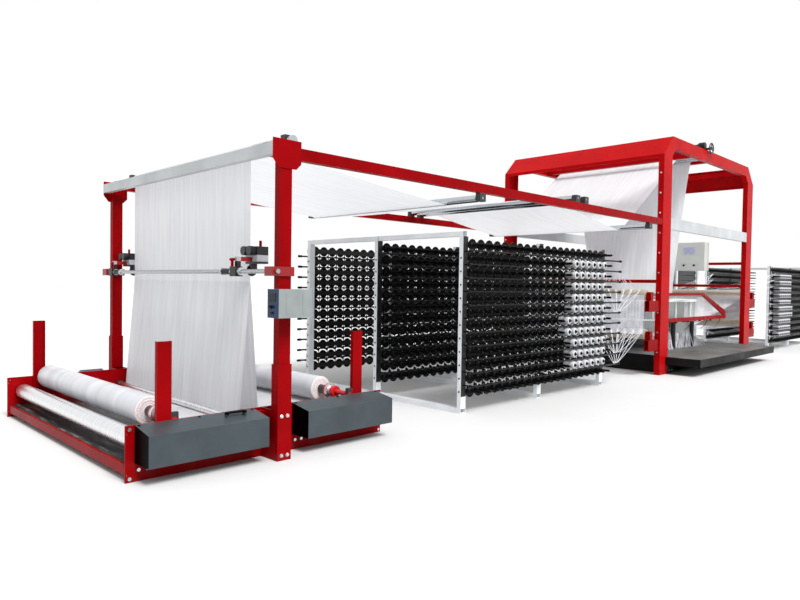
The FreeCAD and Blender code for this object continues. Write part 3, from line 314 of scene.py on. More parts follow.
# woven tape: 2.5 mm tapes, drawn 12 mm wide to show, in a glossy milk white with soft bands
# from layer to layer
roll_cloth, tree, shader, place = finish_of("wound polypropylene weave", 0.36, ior=1.5)
shader.inputs["Sheen Weight"].default_value = 0.1
apart = add(tree, "ShaderNodeSeparateXYZ", {"Vector": place})
across = add(tree, "ShaderNodeMath", {0: apart.outputs["Y"], 1: 2 * math.pi / 0.012},
             operation="MULTIPLY").outputs[0]
tapes = add(tree, "ShaderNodeMath", {0: across}, operation="SINE").outputs[0]
bands = add(tree, "ShaderNodeMapping", {"Vector": place, "Scale": (0.0, 1.0, 0.0)})
layer = add(tree, "ShaderNodeTexNoise", {"Vector": bands.outputs["Vector"], "Scale": 5.0,
                                         "Detail": 6.0})
tone = add(tree, "ShaderNodeMath", {0: tapes, 1: 0.06, 2: layer.outputs["Fac"]},
           operation="MULTIPLY_ADD")
paint(tree, shader, spread(tree, tone.outputs[0], 0.35, 0.65), "#a3a4a8", "#babbc0")
bump(tree, shader, tapes, 0.0004, 0.35)

# the wound end: pinkish grey layers a few millimetres apart, uneven and matt
roll_end, tree, shader, place = finish_of("wound layer edges", 0.6, ior=1.5)
ends = add(tree, "ShaderNodeTexNoise", {"Vector": place, "Scale": 120.0, "Detail": 3.0})
paint(tree, shader, spread(tree, ends.outputs["Fac"], 0.35, 0.65), "#b9a7a8", "#e9e2e2")


def wound_roll(name, node, body):
    """A roll with rounded, slightly uneven layer edges and a wound face on each end."""
    low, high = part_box(node)
    centre = (low + high) / 2
    radius = (high.x - low.x) / 2 - 0.002
    bore = 0.0452
    around = 72
    random.seed(len(name))
    profile = []
    steps = 14
    for i in range(steps + 1):
        r = bore + (radius - 0.012 - bore) * i / steps
        profile.append((r, low.y + (0.0 if i == 0 else random.uniform(0.001, 0.006))))
    profile += [(radius - 0.004, low.y + 0.006), (radius, low.y + 0.014)]
    length = high.y - low.y
    for i in range(1, 24):
        y = low.y + 0.014 + (length - 0.028) * i / 24
        profile.append((radius - random.uniform(0.0, 0.0015), y))
    profile += [(r, 2 * centre.y - y) for r, y in reversed(profile[:steps + 3])]
    verts = turned(profile, around, (centre.x, 0, centre.z), (0, 1, 0))
    faces = ring_faces(0, len(profile), around, ends="joined")
    roll = new_piece(name, verts, faces, roll_cloth, smooth=True)
    roll.data.materials.append(roll_end)
    for face in roll.data.polygons:
        face.material_index = 1 if abs(face.normal.y) > 0.7 else 0
    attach(roll, body)
    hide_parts(node)


for name in ("front", "rear"):
    wound_roll(name + "_wound_cloth", name + "_cloth_roll", name + "_roll")

# chucks and cores: black phenolic paper tube, then red enamel and a bright collar at the
# operator's end, told apart by where they lie along the shaft
chuck, tree, shader, place = finish_of("red enamelled chuck and black core", 0.35)
along = add(tree, "ShaderNodeSeparateXYZ", {"Vector": place}).outputs["Y"]
red_part = add(tree, "ShaderNodeMath", {0: along, 1: -1.24}, operation="LESS_THAN").outputs[0]
collar = add(tree, "ShaderNodeMath", {0: along, 1: -1.3, 2: 0.03}, operation="COMPARE").outputs[0]
rub = add(tree, "ShaderNodeTexNoise", {"Vector": place, "Scale": 30.0, "Detail": 4.0})
core_tone = blend_colours(tree, rub.outputs["Fac"], "#0f0f10", "#2a2a2c")
red_tone = blend_colours(tree, rub.outputs["Fac"], "#a80a12", "#c8141c")
tone = blend_colours(tree, red_part, core_tone, red_tone)
paint(tree, shader, collar, tone, "#d5d8da")
tree.links.new(collar, shader.inputs["Metallic"])
dress(chuck, "front_roll_shaft", "rear_roll_shaft")

# ---- gear covers
# Folded steel boxes over the drum drives, in slate enamel, stand against the near side plate;
# their −X end faces are painted near black as painted shade. Their lids slope, and the front one
# has a black handle.

# slate enamel: smooth and half gloss, a little chalky where hands and boots rub the face
slate_enamel, tree, shader, place = finish_of("slate grey enamel on sheet steel", 0.4, ior=1.5,
                                               gloss=0.3)
rubbed = add(tree, "ShaderNodeTexNoise", {"Vector": place, "Scale": 3.0, "Detail": 8.0,
                                          "Roughness": 0.65})
slate = blend_colours(tree, spread(tree, rubbed.outputs["Fac"], 0.4, 0.75), "#31393d",
                      "#3c4549")
cover_low, cover_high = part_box("gear_covers")
cover_length = 1.04
cover_starts = (cover_low.x, cover_high.x - cover_length)
# the black mask holds the truly black handle above 0.4365 m and each cover's −X end face, painted
# near black as painted shade
apart = add(tree, "ShaderNodeSeparateXYZ", {"Vector": place})
black = add(tree, "ShaderNodeMath", {0: apart.outputs["Z"], 1: 0.4365},
            operation="GREATER_THAN").outputs[0]
for start in cover_starts:
    painted_shade_end_face = add(tree, "ShaderNodeMath", {0: apart.outputs["X"], 1: start, 2: 0.0008},
                    operation="COMPARE").outputs[0]
    black = add(tree, "ShaderNodeMath", {0: black, 1: painted_shade_end_face}, operation="MAXIMUM").outputs[0]
paint(tree, shader, black, slate, "#020202")
tree.links.new(spread(tree, black, 0.0, 1.0, 0.3, 0.02), shader.inputs["Specular IOR Level"])
vary_gloss(tree, shader, rubbed.outputs["Fac"], 0.3, 0.8, 0.32, 0.55)
orange_peel(tree, shader, place)
dress(slate_enamel, "gear_covers")

# black oxide screws: dark, oily, almost no colour
black_oxide, tree, shader, place = finish_of("black oxide screw", 0.35, metallic=0.8)
oil = add(tree, "ShaderNodeTexNoise", {"Vector": place, "Scale": 90.0, "Detail": 2.0})
paint(tree, shader, oil.outputs["Fac"], "#0c0c0d", "#2a2a2c")

plate_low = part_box("winder_frame")[0]
lid_screws = [(start + along, cover_low.y + 0.23, cover_low.z + 0.287) for start in cover_starts
              for along in (0.025, cover_length / 2, cover_length - 0.025)]
hex_bolts("cover_lid_screws", lid_screws, (0, 0, 1), across=0.02, tall=0.008,
          material=black_oxide)

# ---- bolts of the winder frame
# Zinc plated hexagon bolts with washers: small ones in the front edges of the side plates,
# larger ones in the outer faces of the mast feet.
plate_y, mast_foot_y = 1.609, 1.8695
edge_bolts = [(plate_low.x + 0.0115, y, z) for y in (-plate_y, plate_y) for z in (0.06, 0.37)]
hex_bolts("plate_edge_bolts", edge_bolts, (-1, 0, 0), across=0.012, tall=0.006)
mast_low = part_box("masts")[0]
for name, side in (("mast_foot_bolts", -1), ("mast_foot_bolts_far", 1)):
    hex_bolts(name, [(mast_low.x + 0.08 + a, side * (mast_foot_y + 0.0005), z)
                     for a in (0.03, 0.09) for z in (0.045, 0.385)], (0, side, 0),
              across=0.025, tall=0.015)

# ---- cloth from the loom to the winder
# One flat tube of woven polypropylene runs from the nip rollers down under and over the
# idlers to the winder's top roller, hangs to the slitting knives, and goes on as two halves.

# woven tape fabric: 2.5 mm warp tapes, drawn 10 mm wide to show, in a milky white with soft
# streaks along the web where the tapes differ, and a low plastic sheen
web_cloth, tree, shader, place = finish_of("woven polypropylene cloth", 0.42, ior=1.5)
shader.inputs["Sheen Weight"].default_value = 0.15
lengthwise = add(tree, "ShaderNodeMapping", {"Vector": place, "Scale": (0.05, 1.0, 0.05)})
streaks = add(tree, "ShaderNodeTexNoise", {"Vector": lengthwise.outputs["Vector"],
                                           "Scale": 22.0, "Detail": 7.0, "Roughness": 0.6})
across = add(tree, "ShaderNodeSeparateXYZ", {"Vector": place}).outputs["Y"]
tapes = add(tree, "ShaderNodeMath", {0: add(tree, "ShaderNodeMath", {
    0: across, 1: 2 * math.pi / 0.010}, operation="MULTIPLY").outputs[0]}, operation="SINE")
paint(tree, shader, spread(tree, streaks.outputs["Fac"], 0.36, 0.66), "#d6d7da", "#e9eaec")
bump(tree, shader, tapes.outputs[0], 0.0004, 0.3)
# thin flat tape lets a good part of the light through
through = add(tree, "ShaderNodeBsdfTranslucent", {"Color": srgb("#e2e3e6")})
lit = add(tree, "ShaderNodeMixShader", {0: 0.37, 1: shader.outputs["BSDF"],
                                        2: through.outputs["BSDF"]})
tree.links.new(lit.outputs["Shader"], tree.nodes["Material Output"].inputs["Surface"])

top_low, top_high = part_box("top_roller")
web_low, web_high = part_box("overhead_cloth")


def centre_of(node):
    """The middle of a CAD node's box."""
    low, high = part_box(node)
    return (low + high) / 2


def web_line(rollers, step=0.05):
    """Points (x, z) of a web that runs straight between rollers and bends round each.

    A roller is (x, z, radius, side), side +1 where the web passes to its left as it travels.
    Each point also has its share of the free run it is in, 0 on a roller.
    """
    touch = []
    for (x1, z1, r1, s1), (x2, z2, r2, s2) in zip(rollers, rollers[1:]):
        p, q = (x1, z1), (x2, z2)
        for _ in range(8):
            length = math.hypot(q[0] - p[0], q[1] - p[1])
            n = (-(q[1] - p[1]) / length, (q[0] - p[0]) / length)
            p = (x1 + n[0] * r1 * s1, z1 + n[1] * r1 * s1)
            q = (x2 + n[0] * r2 * s2, z2 + n[1] * r2 * s2)
        touch.append((p, q))
    line = []
    for i, (p, q) in enumerate(touch):
        count = max(2, int(math.hypot(q[0] - p[0], q[1] - p[1]) / step))
        for k in range(count + 1):
            t = k / count
            line.append((p[0] + (q[0] - p[0]) * t, p[1] + (q[1] - p[1]) * t, t))
        if i + 1 < len(touch):
            x, z, r, _ = rollers[i + 1]
            a = math.atan2(q[1] - z, q[0] - x)
            b = math.atan2(touch[i + 1][0][1] - z, touch[i + 1][0][0] - x)
            turn = (b - a + math.pi) % (2 * math.pi) - math.pi
            bends = max(2, int(abs(turn) / 0.2))
            for k in range(1, bends):
                c = a + turn * k / bends
                line.append((x + r * math.cos(c), z + r * math.sin(c), 0.0))
    return line


def ripple(y, seed, fine=1.0):
    """A smooth uneven wave across the web, about -1 to 1, the same for the same seed."""
    return sum(a * math.sin(y * k * fine + seed * (1.7 + i))
               for i, (k, a) in enumerate(((3.1, 0.4), (7.9, 0.3), (17.0, 0.2), (33.0, 0.12))))


def hung_web(name, line, y0, y1, depth, sag=0.0, seed=1.0, columns=110):
    """A sheet along a line of (x, z, share), rippled across its free runs."""
    verts, faces = [], []
    rows = len(line)
    for i, (x, z, t) in enumerate(line):
        x_a, z_a, _ = line[max(i - 1, 0)]
        x_b, z_b, _ = line[min(i + 1, rows - 1)]
        length = math.hypot(x_b - x_a, z_b - z_a) or 1.0
        n = (-(z_b - z_a) / length, (x_b - x_a) / length)
        free = math.sin(math.pi * t)
        for k in range(columns + 1):
            y = y0 + (y1 - y0) * k / columns
            out = depth * free * ripple(y, seed + 0.35 * t)
            verts.append((x + n[0] * out, y, z + n[1] * out - sag * free * abs(n[1])))
    for i in range(rows - 1):
        for k in range(columns):
            a = i * (columns + 1) + k
            faces.append((a, a + 1, a + columns + 2, a + columns + 1))
    sheet = new_piece(name, verts, faces, web_cloth, smooth=True)
    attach(sheet, "root")
    return sheet


y0, y1 = web_low.y, web_high.y
gap = 0.0014
top_x, top_z = (top_low.x + top_high.x) / 2, (top_low.z + top_high.z) / 2
top_r = (top_high.z - top_low.z) / 2 + gap
idler_r = 0.045 + gap
z_slit = 1.54
stops = [(top_x - top_r, z_slit, 0.0, 1), (top_x, top_z, top_r, 1)]
for name, side in (("idler_a", -1), ("idler_b1", 1), ("idler_b2", 1), ("idler_c", -1)):
    c = centre_of(name)
    stops.append((c.x, c.z, idler_r, side))
c = centre_of("lower_nip_roller")
stops.append((c.x, c.z, 0.07 + gap, 1))
main_web = hung_web("main_cloth_web", web_line(stops), y0, y1, 0.005, sag=0.02, seed=2.0)
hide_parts("overhead_cloth")

for name, side in (("front", 1), ("rear", -1)):
    guide, roll = centre_of(name + "_guide_roller"), centre_of(name + "_cloth_roll")
    start = (top_x - top_r - 0.0006 * side, z_slit, 0.0, side)
    half = hung_web(name + "_cloth_half", web_line([
        start, (guide.x, guide.z, 0.035 + gap, side), (roll.x, roll.z, 0.1305, side)]),
        y0, y1, 0.009, seed=5.0 + side)
    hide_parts("cloth_at_winder")

# the tube of cloth, round on the weaving ring and flat at the nip, with long soft pleats
ring_low, ring_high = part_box("cloth_tube")
ring_x = (ring_low.x + ring_high.x) / 2
ring_r = (ring_high.x - ring_low.x) / 2
nip_x = c.x + 0.07 + gap + 0.014
nip_z = 4.13
around, rise = 160, 40
verts = []
for i in range(rise + 1):
    t = i / rise
    for k in range(around):
        a = 2 * math.pi * k / around
        pleat = 1 - 0.012 * math.sin(math.pi * t) * (1 + math.sin(11 * a + 2 * t))
        x = (1 - t) * (ring_x + ring_r * math.cos(a)) + t * (nip_x + 0.004 * math.cos(a))
        y = (1 - t) * ring_r * math.sin(a) + t * ring_high.y * math.sin(a)
        cx = (1 - t) * ring_x + t * nip_x
        verts.append((cx + (x - cx) * pleat, y * pleat, ring_low.z + (nip_z - ring_low.z) * t))
tube = new_piece("tube_of_cloth", verts, ring_faces(0, rise + 1, around, ends="open"),
                 web_cloth, smooth=True)
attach(tube, "root")
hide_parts("cloth_tube")

# ---- white cross beams
# The beams across the winder's head and along the loom are folded tube in white enamel. The
# rollers of the overhead path are hard chromed, and the upper nip roller is black.
white_enamel, tree, shader, place = finish_of("white enamel on steel tube", 0.35, ior=1.5,
                                              gloss=0.35)
cloud = add(tree, "ShaderNodeTexNoise", {"Vector": place, "Scale": 2.6, "Detail": 6.0})
paint(tree, shader, spread(tree, cloud.outputs["Fac"], 0.35, 0.7), "#a2a5a7", "#b4b7b9")
orange_peel(tree, shader, place)
dress(white_enamel, "white_beams")

# hard chrome: bright and even, with the faintest turning rings
hard_chrome, tree, shader, place = finish_of("hard chrome roller", 0.12, metallic=1.0)
along = add(tree, "ShaderNodeMapping", {"Vector": place, "Scale": (0.0, 1.0, 0.0)})
rings = add(tree, "ShaderNodeTexNoise", {"Vector": along.outputs["Vector"], "Scale": 60.0,
                                         "Detail": 3.0})
paint(tree, shader, rings.outputs["Fac"], "#9fa6ac", "#d9dde0")
vary_gloss(tree, shader, rings.outputs["Fac"], 0.3, 0.7, 0.08, 0.2)
dress(hard_chrome, "top_roller", "idler_a", "idler_b1", "idler_b2", "idler_c",
      "lower_nip_roller")
dress(cast_iron, "upper_nip_roller")

# ---- slitting heads
# Two motor driven round knives that slit the cloth's edges. Each rides a bright drawn rod on
# a black carriage and a red arm; the rod is held in red clamps bolted round the masts.
slitter_rod_finish, tree, shader, place = finish_of("bright drawn rod in red clamps", 0.25,
                                                    metallic=1.0)
away = add(tree, "ShaderNodeMath", {0: add(tree, "ShaderNodeSeparateXYZ", {"Vector": place})
                                    .outputs["Y"]}, operation="ABSOLUTE").outputs[0]
clamped = add(tree, "ShaderNodeMath", {0: away, 1: 1.8195, 2: 0.0635},
              operation="COMPARE").outputs[0]
pulled = add(tree, "ShaderNodeTexNoise", {"Vector": place, "Scale": 45.0, "Detail": 4.0})
bright = blend_colours(tree, pulled.outputs["Fac"], "#8f9499", "#c3c7cb")
coat = blend_colours(tree, pulled.outputs["Fac"], "#740104", "#860207")
paint(tree, shader, clamped, bright, coat)
tree.links.new(spread(tree, clamped, 0.0, 1.0, 1.0, 0.0), shader.inputs["Metallic"])
dress(slitter_rod_finish, "slitter_rod")

# black machine enamel, with the bright band of the gear case and the red arm
cutter_low, cutter_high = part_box("near_slitter")
cutter_finish, tree, shader, place = finish_of("black machine enamel and bright gear case",
                                               0.34, ior=1.5, gloss=0.4)
apart = add(tree, "ShaderNodeSeparateXYZ", {"Vector": place})
gear_case = add(tree, "ShaderNodeMath", {0: apart.outputs["Z"], 1: 1.755, 2: 0.03},
                operation="COMPARE").outputs[0]
arm = add(tree, "ShaderNodeMath", {0: apart.outputs["X"],
                                   1: (cutter_low.x + cutter_high.x) / 2 - 0.0226, 2: 0.06},
          operation="COMPARE").outputs[0]
grime = add(tree, "ShaderNodeTexNoise", {"Vector": place, "Scale": 30.0, "Detail": 6.0})
dark = blend_colours(tree, grime.outputs["Fac"], "#060607", "#1d1e20")
tone = blend_colours(tree, gear_case, dark,
                     blend_colours(tree, grime.outputs["Fac"], "#7d8084", "#b6b9bc"))
paint(tree, shader, arm, tone, "#8a0308")
vary_gloss(tree, shader, grime.outputs["Fac"], 0.3, 0.7, 0.26, 0.44)
dress(cutter_finish, "near_slitter", "far_slitter")


def many_turned(name, profile, around, places, material, body="root",
                ends="capped", smooth=True):
    """One piece made of the same turned shape at many places, each (centre, axis)."""
    verts, faces = [], []
    for centre, axis in places:
        faces += ring_faces(len(verts), len(profile), around, ends)
        verts += turned(profile, around, centre, axis)
    piece = new_piece(name, verts, faces, material)
    for face in piece.data.polygons:
        face.use_smooth = smooth and len(face.vertices) == 4
    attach(piece, body)
    return piece


def many_discs(name, places, radius, thick, material, body, around=20):
    """Plain discs or short round bars, each centred on its place."""
    return many_turned(name, [(radius, -thick / 2), (radius, thick / 2)], around, places,
                       material, body, smooth=False)


for side, name in ((1, "near"), (-1, "far")):
    body = name + "_slitter"
    low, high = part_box(body)
    rod_x, rod_z, mid = low.x + 0.045, 1.63, (low.y + high.y) / 2
    blade_x, motor_z, motors = high.x - 0.06, 1.825, (mid - 0.05, mid + 0.05)
    fins = [((blade_x - 0.066 - 0.009 * i, y, motor_z), (1, 0, 0))
            for y in motors for i in range(7)]
    many_discs(name + "_cutter_fins", fins, 0.042, 0.004, cast_iron, body, around=28)
    cores = [((blade_x - 0.09, y, motor_z), (1, 0, 0)) for y in motors]
    many_discs(name + "_cutter_cores", cores, 0.03, 0.062, cast_iron, body, around=28)
    sleeve = [((rod_x, mid + side * 0.157, rod_z), (0, 1, 0))]
    many_discs(name + "_rod_sleeves", sleeve, 0.0285, 0.15, black_oxide, body, around=28)
    collars = [((rod_x, mid + side * y, rod_z), (0, 1, 0)) for y in (0.066, -0.066, 0.24)]
    many_discs(name + "_rod_collars", collars, 0.036, 0.016, zinc, body, around=28)
    # a clamp lever's stem and its cross bar, and the stem of the blade's lever
    levers = [((rod_x - 0.03, mid + side * 0.03, rod_z + 0.075), (0, 0, 1)),
              ((rod_x - 0.03, mid + side * 0.03, rod_z + 0.11), (0, 1, 0)),
              ((blade_x, mid - side * 0.06, 1.89), (0, 0, 1))]
    many_discs(name + "_clamp_levers", levers, 0.013, 0.06, red_paint, body)

# ---- control box on the near mast
# A folded steel case with a blue front panel toward the winder: a dark display, a dial and
# a switch; its wide door is plain light grey sheet with two pressed ribs.
grey_door, tree, shader, place = finish_of("light grey enamel on sheet", 0.42, ior=1.5,
                                           gloss=0.3)
cloud = add(tree, "ShaderNodeTexNoise", {"Vector": place, "Scale": 5.0, "Detail": 6.0})
paint(tree, shader, spread(tree, cloud.outputs["Fac"], 0.35, 0.7), "#767c7c", "#828888")
bump(tree, shader, add(tree, "ShaderNodeTexNoise", {"Vector": place, "Scale": 330.0})
     .outputs["Fac"], 0.0004, 0.4)
dress(grey_door, "control_case", "control_door")

# blue hammertone: small dimples about 4 mm across; display glass where the screen stands
blue_panel, tree, shader, place = finish_of("blue hammertone panel and dark display", 0.3,
                                            ior=1.5, gloss=0.3)
dimple = add(tree, "ShaderNodeTexVoronoi", {"Vector": place, "Scale": 240.0})
blue = blend_colours(tree, dimple.outputs["Distance"], "#0c1f3a", "#183256")
apart = add(tree, "ShaderNodeSeparateXYZ", {"Vector": place})
panel_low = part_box("control_panel")[0]
glass = add(tree, "ShaderNodeMath", {0: apart.outputs["X"], 1: panel_low.x + 0.0119},
            operation="LESS_THAN").outputs[0]
lit = add(tree, "ShaderNodeTexVoronoi", {"Vector": place, "Scale": 70.0})
marks = blend_colours(tree, add(tree, "ShaderNodeMath", {0: lit.outputs["Distance"], 1: 0.16},
                                operation="LESS_THAN").outputs[0], "#0b0f12", "#2f6a4a")
paint(tree, shader, glass, blue, marks)
bump(tree, shader, dimple.outputs["Distance"], 0.0004, 0.4)
dress(blue_panel, "control_panel")
dress(black_oxide, "control_dial", "cabinet_knob_1", "cabinet_knob_2")

door_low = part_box("control_door")[0]


# two low ribs with sloping sides, pressed into the door's face
corners = ((0, 0), (1, 0), (1, 1), (0, 1))
rib_length, rib_width, rib_height = 0.18, 0.012, 0.004
verts, faces = [], []
for at in (0.07, 0.24):
    corner = Vector((door_low.x + at, door_low.y - 0.0001, door_low.z + 0.03))
    faces += ring_faces(len(verts), 2, 4)
    for level, inset in ((0.0, 0.0), (rib_height, rib_width / 4)):
        for a, b in corners:
            verts.append(corner + Vector((inset + b * (rib_width - 2 * inset), -level,
                                          inset + a * (rib_length - 2 * inset))))
ribs = new_piece("door_ribs", verts, faces, grey_door)
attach(ribs, "control_door")

# ---- electrical cabinet in the gantry
# A wall cabinet of folded sheet on the far leg, in a textured enamel, with a display in its
# door and two rotary switches.
cabinet_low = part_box("cabinet_door")[0]
cabinet_finish, tree, shader, place = finish_of("textured grey cabinet enamel", 0.5, ior=1.5,
                                                gloss=0.3)
sand = add(tree, "ShaderNodeTexNoise", {"Vector": place, "Scale": 500.0, "Detail": 2.0})
cloud = add(tree, "ShaderNodeTexNoise", {"Vector": place, "Scale": 3.0, "Detail": 5.0})
grey = blend_colours(tree, cloud.outputs["Fac"], "#b9bdba", "#cdd0cd")
apart = add(tree, "ShaderNodeSeparateXYZ", {"Vector": place})
glass = add(tree, "ShaderNodeMath", {0: apart.outputs["X"], 1: cabinet_low.x + 0.0055},
            operation="LESS_THAN").outputs[0]
cells = add(tree, "ShaderNodeTexVoronoi", {"Vector": place, "Scale": 40.0})
display = blend_colours(tree, cells.outputs["Distance"], "#7f84a8", "#c9cde2")
paint(tree, shader, glass, grey, display)
bump(tree, shader, sand.outputs["Fac"], 0.0005, 0.5)
dress(cabinet_finish, "cabinet_case", "cabinet_door")

# ---- loom bed and platforms
# A welded black bed with a steel deck, and two work platforms of dull plate worn grey by
# boots, on black skirts.
bed_finish, tree, shader, place = finish_of("black bed paint and worn deck plate", 0.5,
                                            ior=1.5, gloss=0.2)
apart = add(tree, "ShaderNodeSeparateXYZ", {"Vector": place})
bed_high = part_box("loom_bed")[1]
top_face = add(tree, "ShaderNodeMath", {0: apart.outputs["Z"], 1: bed_high.z - 0.0008},
               operation="GREATER_THAN").outputs[0]
tread = add(tree, "ShaderNodeTexNoise", {"Vector": place, "Scale": 2.4, "Detail": 9.0,
                                         "Roughness": 0.65})
deck = blend_colours(tree, spread(tree, tread.outputs["Fac"], 0.35, 0.7), "#3d3d3c", "#6b6b69")
skirt = blend_colours(tree, tread.outputs["Fac"], "#010101", "#060606")
paint(tree, shader, top_face, skirt, deck)
vary_gloss(tree, shader, tread.outputs["Fac"], 0.3, 0.7, 0.4, 0.65)
dress(bed_finish, "loom_bed")

# ---- loom head
# The weaving ring: two machined cast rings on spacers round a cast column, a steel reed
# between them, and ten boat shuttles pushed by the rotor.

# machined casting, off white enamel outside and a dark oily underside
ring_finish, tree, shader, place = finish_of("white enamelled ring casting", 0.38, ior=1.5,
                                             gloss=0.35)
apart = add(tree, "ShaderNodeSeparateXYZ", {"Vector": place})
below = add(tree, "ShaderNodeMath", {0: apart.outputs["Z"], 1: 0.868},
            operation="LESS_THAN").outputs[0]
oil = add(tree, "ShaderNodeTexNoise", {"Vector": place, "Scale": 6.0, "Detail": 6.0})
clean = blend_colours(tree, oil.outputs["Fac"], "#c4c7c6", "#dcdedd")
paint(tree, shader, below, clean, "#141516")
dress(ring_finish, "loom_tracks")

grey_casting, tree, shader, place = finish_of("grey painted casting", 0.45, ior=1.5, gloss=0.3)
oil = add(tree, "ShaderNodeTexNoise", {"Vector": place, "Scale": 5.0, "Detail": 7.0})
paint(tree, shader, oil.outputs["Fac"], "#4a5054", "#70777b")
bump(tree, shader, add(tree, "ShaderNodeTexNoise", {"Vector": place, "Scale": 300.0})
     .outputs["Fac"], 0.0006, 0.5)
dress(grey_casting, "loom_column")

loom_x = 1.99

# reed: upright steel dents about 3 mm apart, drawn 1.5 degrees apart so that they show
reed_steel, tree, shader, place = finish_of("steel reed dents", 0.35, metallic=0.7)
centred = add(tree, "ShaderNodeVectorMath", {0: place, 1: (loom_x, 0.0, 0.0)},
              operation="SUBTRACT").outputs[0]
angle = add(tree, "ShaderNodeTexGradient", {"Vector": centred}, gradient_type="RADIAL")
dents = add(tree, "ShaderNodeMath", {0: add(tree, "ShaderNodeMath", {
    0: angle.outputs["Fac"], 1: 2 * math.pi * 240}, operation="MULTIPLY").outputs[0]},
    operation="SINE").outputs[0]
paint(tree, shader, spread(tree, dents, -0.4, 0.6), "#5f676a", "#d4dad8")
bump(tree, shader, dents, 0.002, 0.6)
dress(reed_steel, "reed_ring")
dress(turned_steel, "shuttle_rotor")

# the shuttles are dark and oily too
dress(black_oxide, "shuttles")

# ---- guard brackets and nip drive
# Curved straps of black flat bar hang from the guards' lower rails toward the weaving ring;
# a small finned motor on the near roof beam drives the nip.
guard_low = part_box("guards")[0]
verts, faces = [], []
guard_rail_y = 1.369
steps, strap_wide, strap_thick, strap_bow, strap_drop = 10, 0.03, 0.008, 0.13, 0.2
for side in (-1, 1):
    for x in (1.82, 2.70, 3.45):
        faces += ring_faces(len(verts), steps + 1, 4)
        for i in range(steps + 1):
            t = i / steps
            y = side * (guard_rail_y - strap_bow * t * t)
            z = guard_low.z + 0.032 - strap_drop * t
            for a, b in corners:
                verts.append((x + a * strap_wide, y - side * b * strap_thick, z))
straps = new_piece("guard_straps", verts, faces, black_oxide)
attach(straps, "root")
roof_x, roof_y, roof_z = 1.46, -1.636, 4.302
many_discs("nip_motor_fins", [((roof_x, roof_y - 0.049 + 0.014 * i, roof_z), (0, 1, 0))
                              for i in range(8)], 0.068, 0.006, cast_iron, "root", around=28)
many_discs("nip_motor_core", [((roof_x, roof_y, roof_z), (0, 1, 0)),
                              ((roof_x, roof_y + 0.066, roof_z - 0.012), (0, 1, 0))],
           0.056, 0.13, cast_iron, "root", around=28)

# ---- far winder motor
# A finned motor in machine enamel, with black cast flanges, lies along the outside of the far
# side plate and is flanged to the foot of the far mast.
foot_x, motor_y, motor_z = -8.4515, 1.728, 0.352
lengthways = (1, 0, 0)
fins = [((foot_x - 0.3785 + 0.02 * i, motor_y, motor_z), lengthways) for i in range(13)]
many_discs("far_motor_fins", fins, 0.09, 0.007, machine_enamel, "root",
           around=32)
many_discs("far_motor_core", [((foot_x - 0.2585, motor_y, motor_z), lengthways)], 0.078, 0.27,
           machine_enamel, "root", around=32)
flanges = [((foot_x - back, motor_y, motor_z - low), lengthways)
           for back, low in ((0.0145, 0.022), (0.0635, 0.012), (0.3835, 0.0))]
many_discs("far_motor_flange", flanges, 0.07, 0.028, cast_iron, "root", around=32)
many_discs("far_motor_neck", [((foot_x - 0.0785, motor_y, motor_z - 0.01), lengthways)],
           0.045, 0.15, zinc, "root", around=24)

# ---- creels: frames and guide bars
# Two bobbin stands of welded square tube in light grey enamel, each with three panels of
# punched row rails. Black guide bars between the rows lead the tapes to the loom.

# pale grey enamel: flat and even, with a faint cloudy tone
pale_enamel, tree, shader, place = finish_of("pale grey enamel on steel tube", 0.4, ior=1.5)
cloud = add(tree, "ShaderNodeTexNoise", {"Vector": place, "Scale": 3.5, "Detail": 6.0})
enamel = blend_colours(tree, spread(tree, cloud.outputs["Fac"], 0.35, 0.7), "#d4d8db",
                       "#e4e7ea")
# the punched row rails that stand proud of each panel's posts are painted near black above 0.2 m,
# as painted shade between the holders
apart = add(tree, "ShaderNodeSeparateXYZ", {"Vector": place})
painted_shade_rails = add(tree, "ShaderNodeMath", {0: add(tree, "ShaderNodeMath", {
    0: apart.outputs["Y"], 1: -1.580, 2: 0.0032}, operation="COMPARE").outputs[0],
    1: add(tree, "ShaderNodeMath", {0: apart.outputs["Y"], 1: -0.093, 2: 0.0032},
           operation="COMPARE").outputs[0]}, operation="MAXIMUM").outputs[0]
far = add(tree, "ShaderNodeMath", {0: apart.outputs["Y"], 1: 1.476, 2: 0.0032},
          operation="COMPARE").outputs[0]
painted_shade_rails = add(tree, "ShaderNodeMath", {0: painted_shade_rails, 1: far}, operation="MAXIMUM").outputs[0]
above = add(tree, "ShaderNodeMath", {0: apart.outputs["Z"], 1: 0.2},
            operation="GREATER_THAN").outputs[0]
painted_shade_rails = add(tree, "ShaderNodeMath", {0: painted_shade_rails, 1: above}, operation="MULTIPLY").outputs[0]
paint(tree, shader, painted_shade_rails, enamel, "#050506")
orange_peel(tree, shader, place)
dress(pale_enamel, "creel_frames")

# black lacquered rod: hard and glossy with a faint long grain from drawing
lacquer, tree, shader, place = finish_of("black lacquered rod", 0.28, ior=1.5, gloss=0.2)
drawn = add(tree, "ShaderNodeMapping", {"Vector": place, "Scale": (0.05, 1.0, 1.0)})
grain = add(tree, "ShaderNodeTexNoise", {"Vector": drawn.outputs["Vector"], "Scale": 130.0,
                                         "Detail": 3.0})
paint(tree, shader, grain.outputs["Fac"], "#020202", "#0b0b0c")
vary_gloss(tree, shader, grain.outputs["Fac"], 0.3, 0.7, 0.2, 0.38)
dress(lacquer, "guide_bars")


frames_low, frames_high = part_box("creel_frames")
bars_low, bars_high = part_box("guide_bars")
rows, row_pitch, first_row = 12, 0.160, 0.258
columns, column_pitch = 20, 0.165
creel_length = 3.443
column_inset = (creel_length - (columns - 1) * column_pitch) / 2
creel_starts = (frames_low.x, frames_high.x - creel_length)
panel_faces = ((-1.547, -1), (-0.060, -1), (1.443, 1))

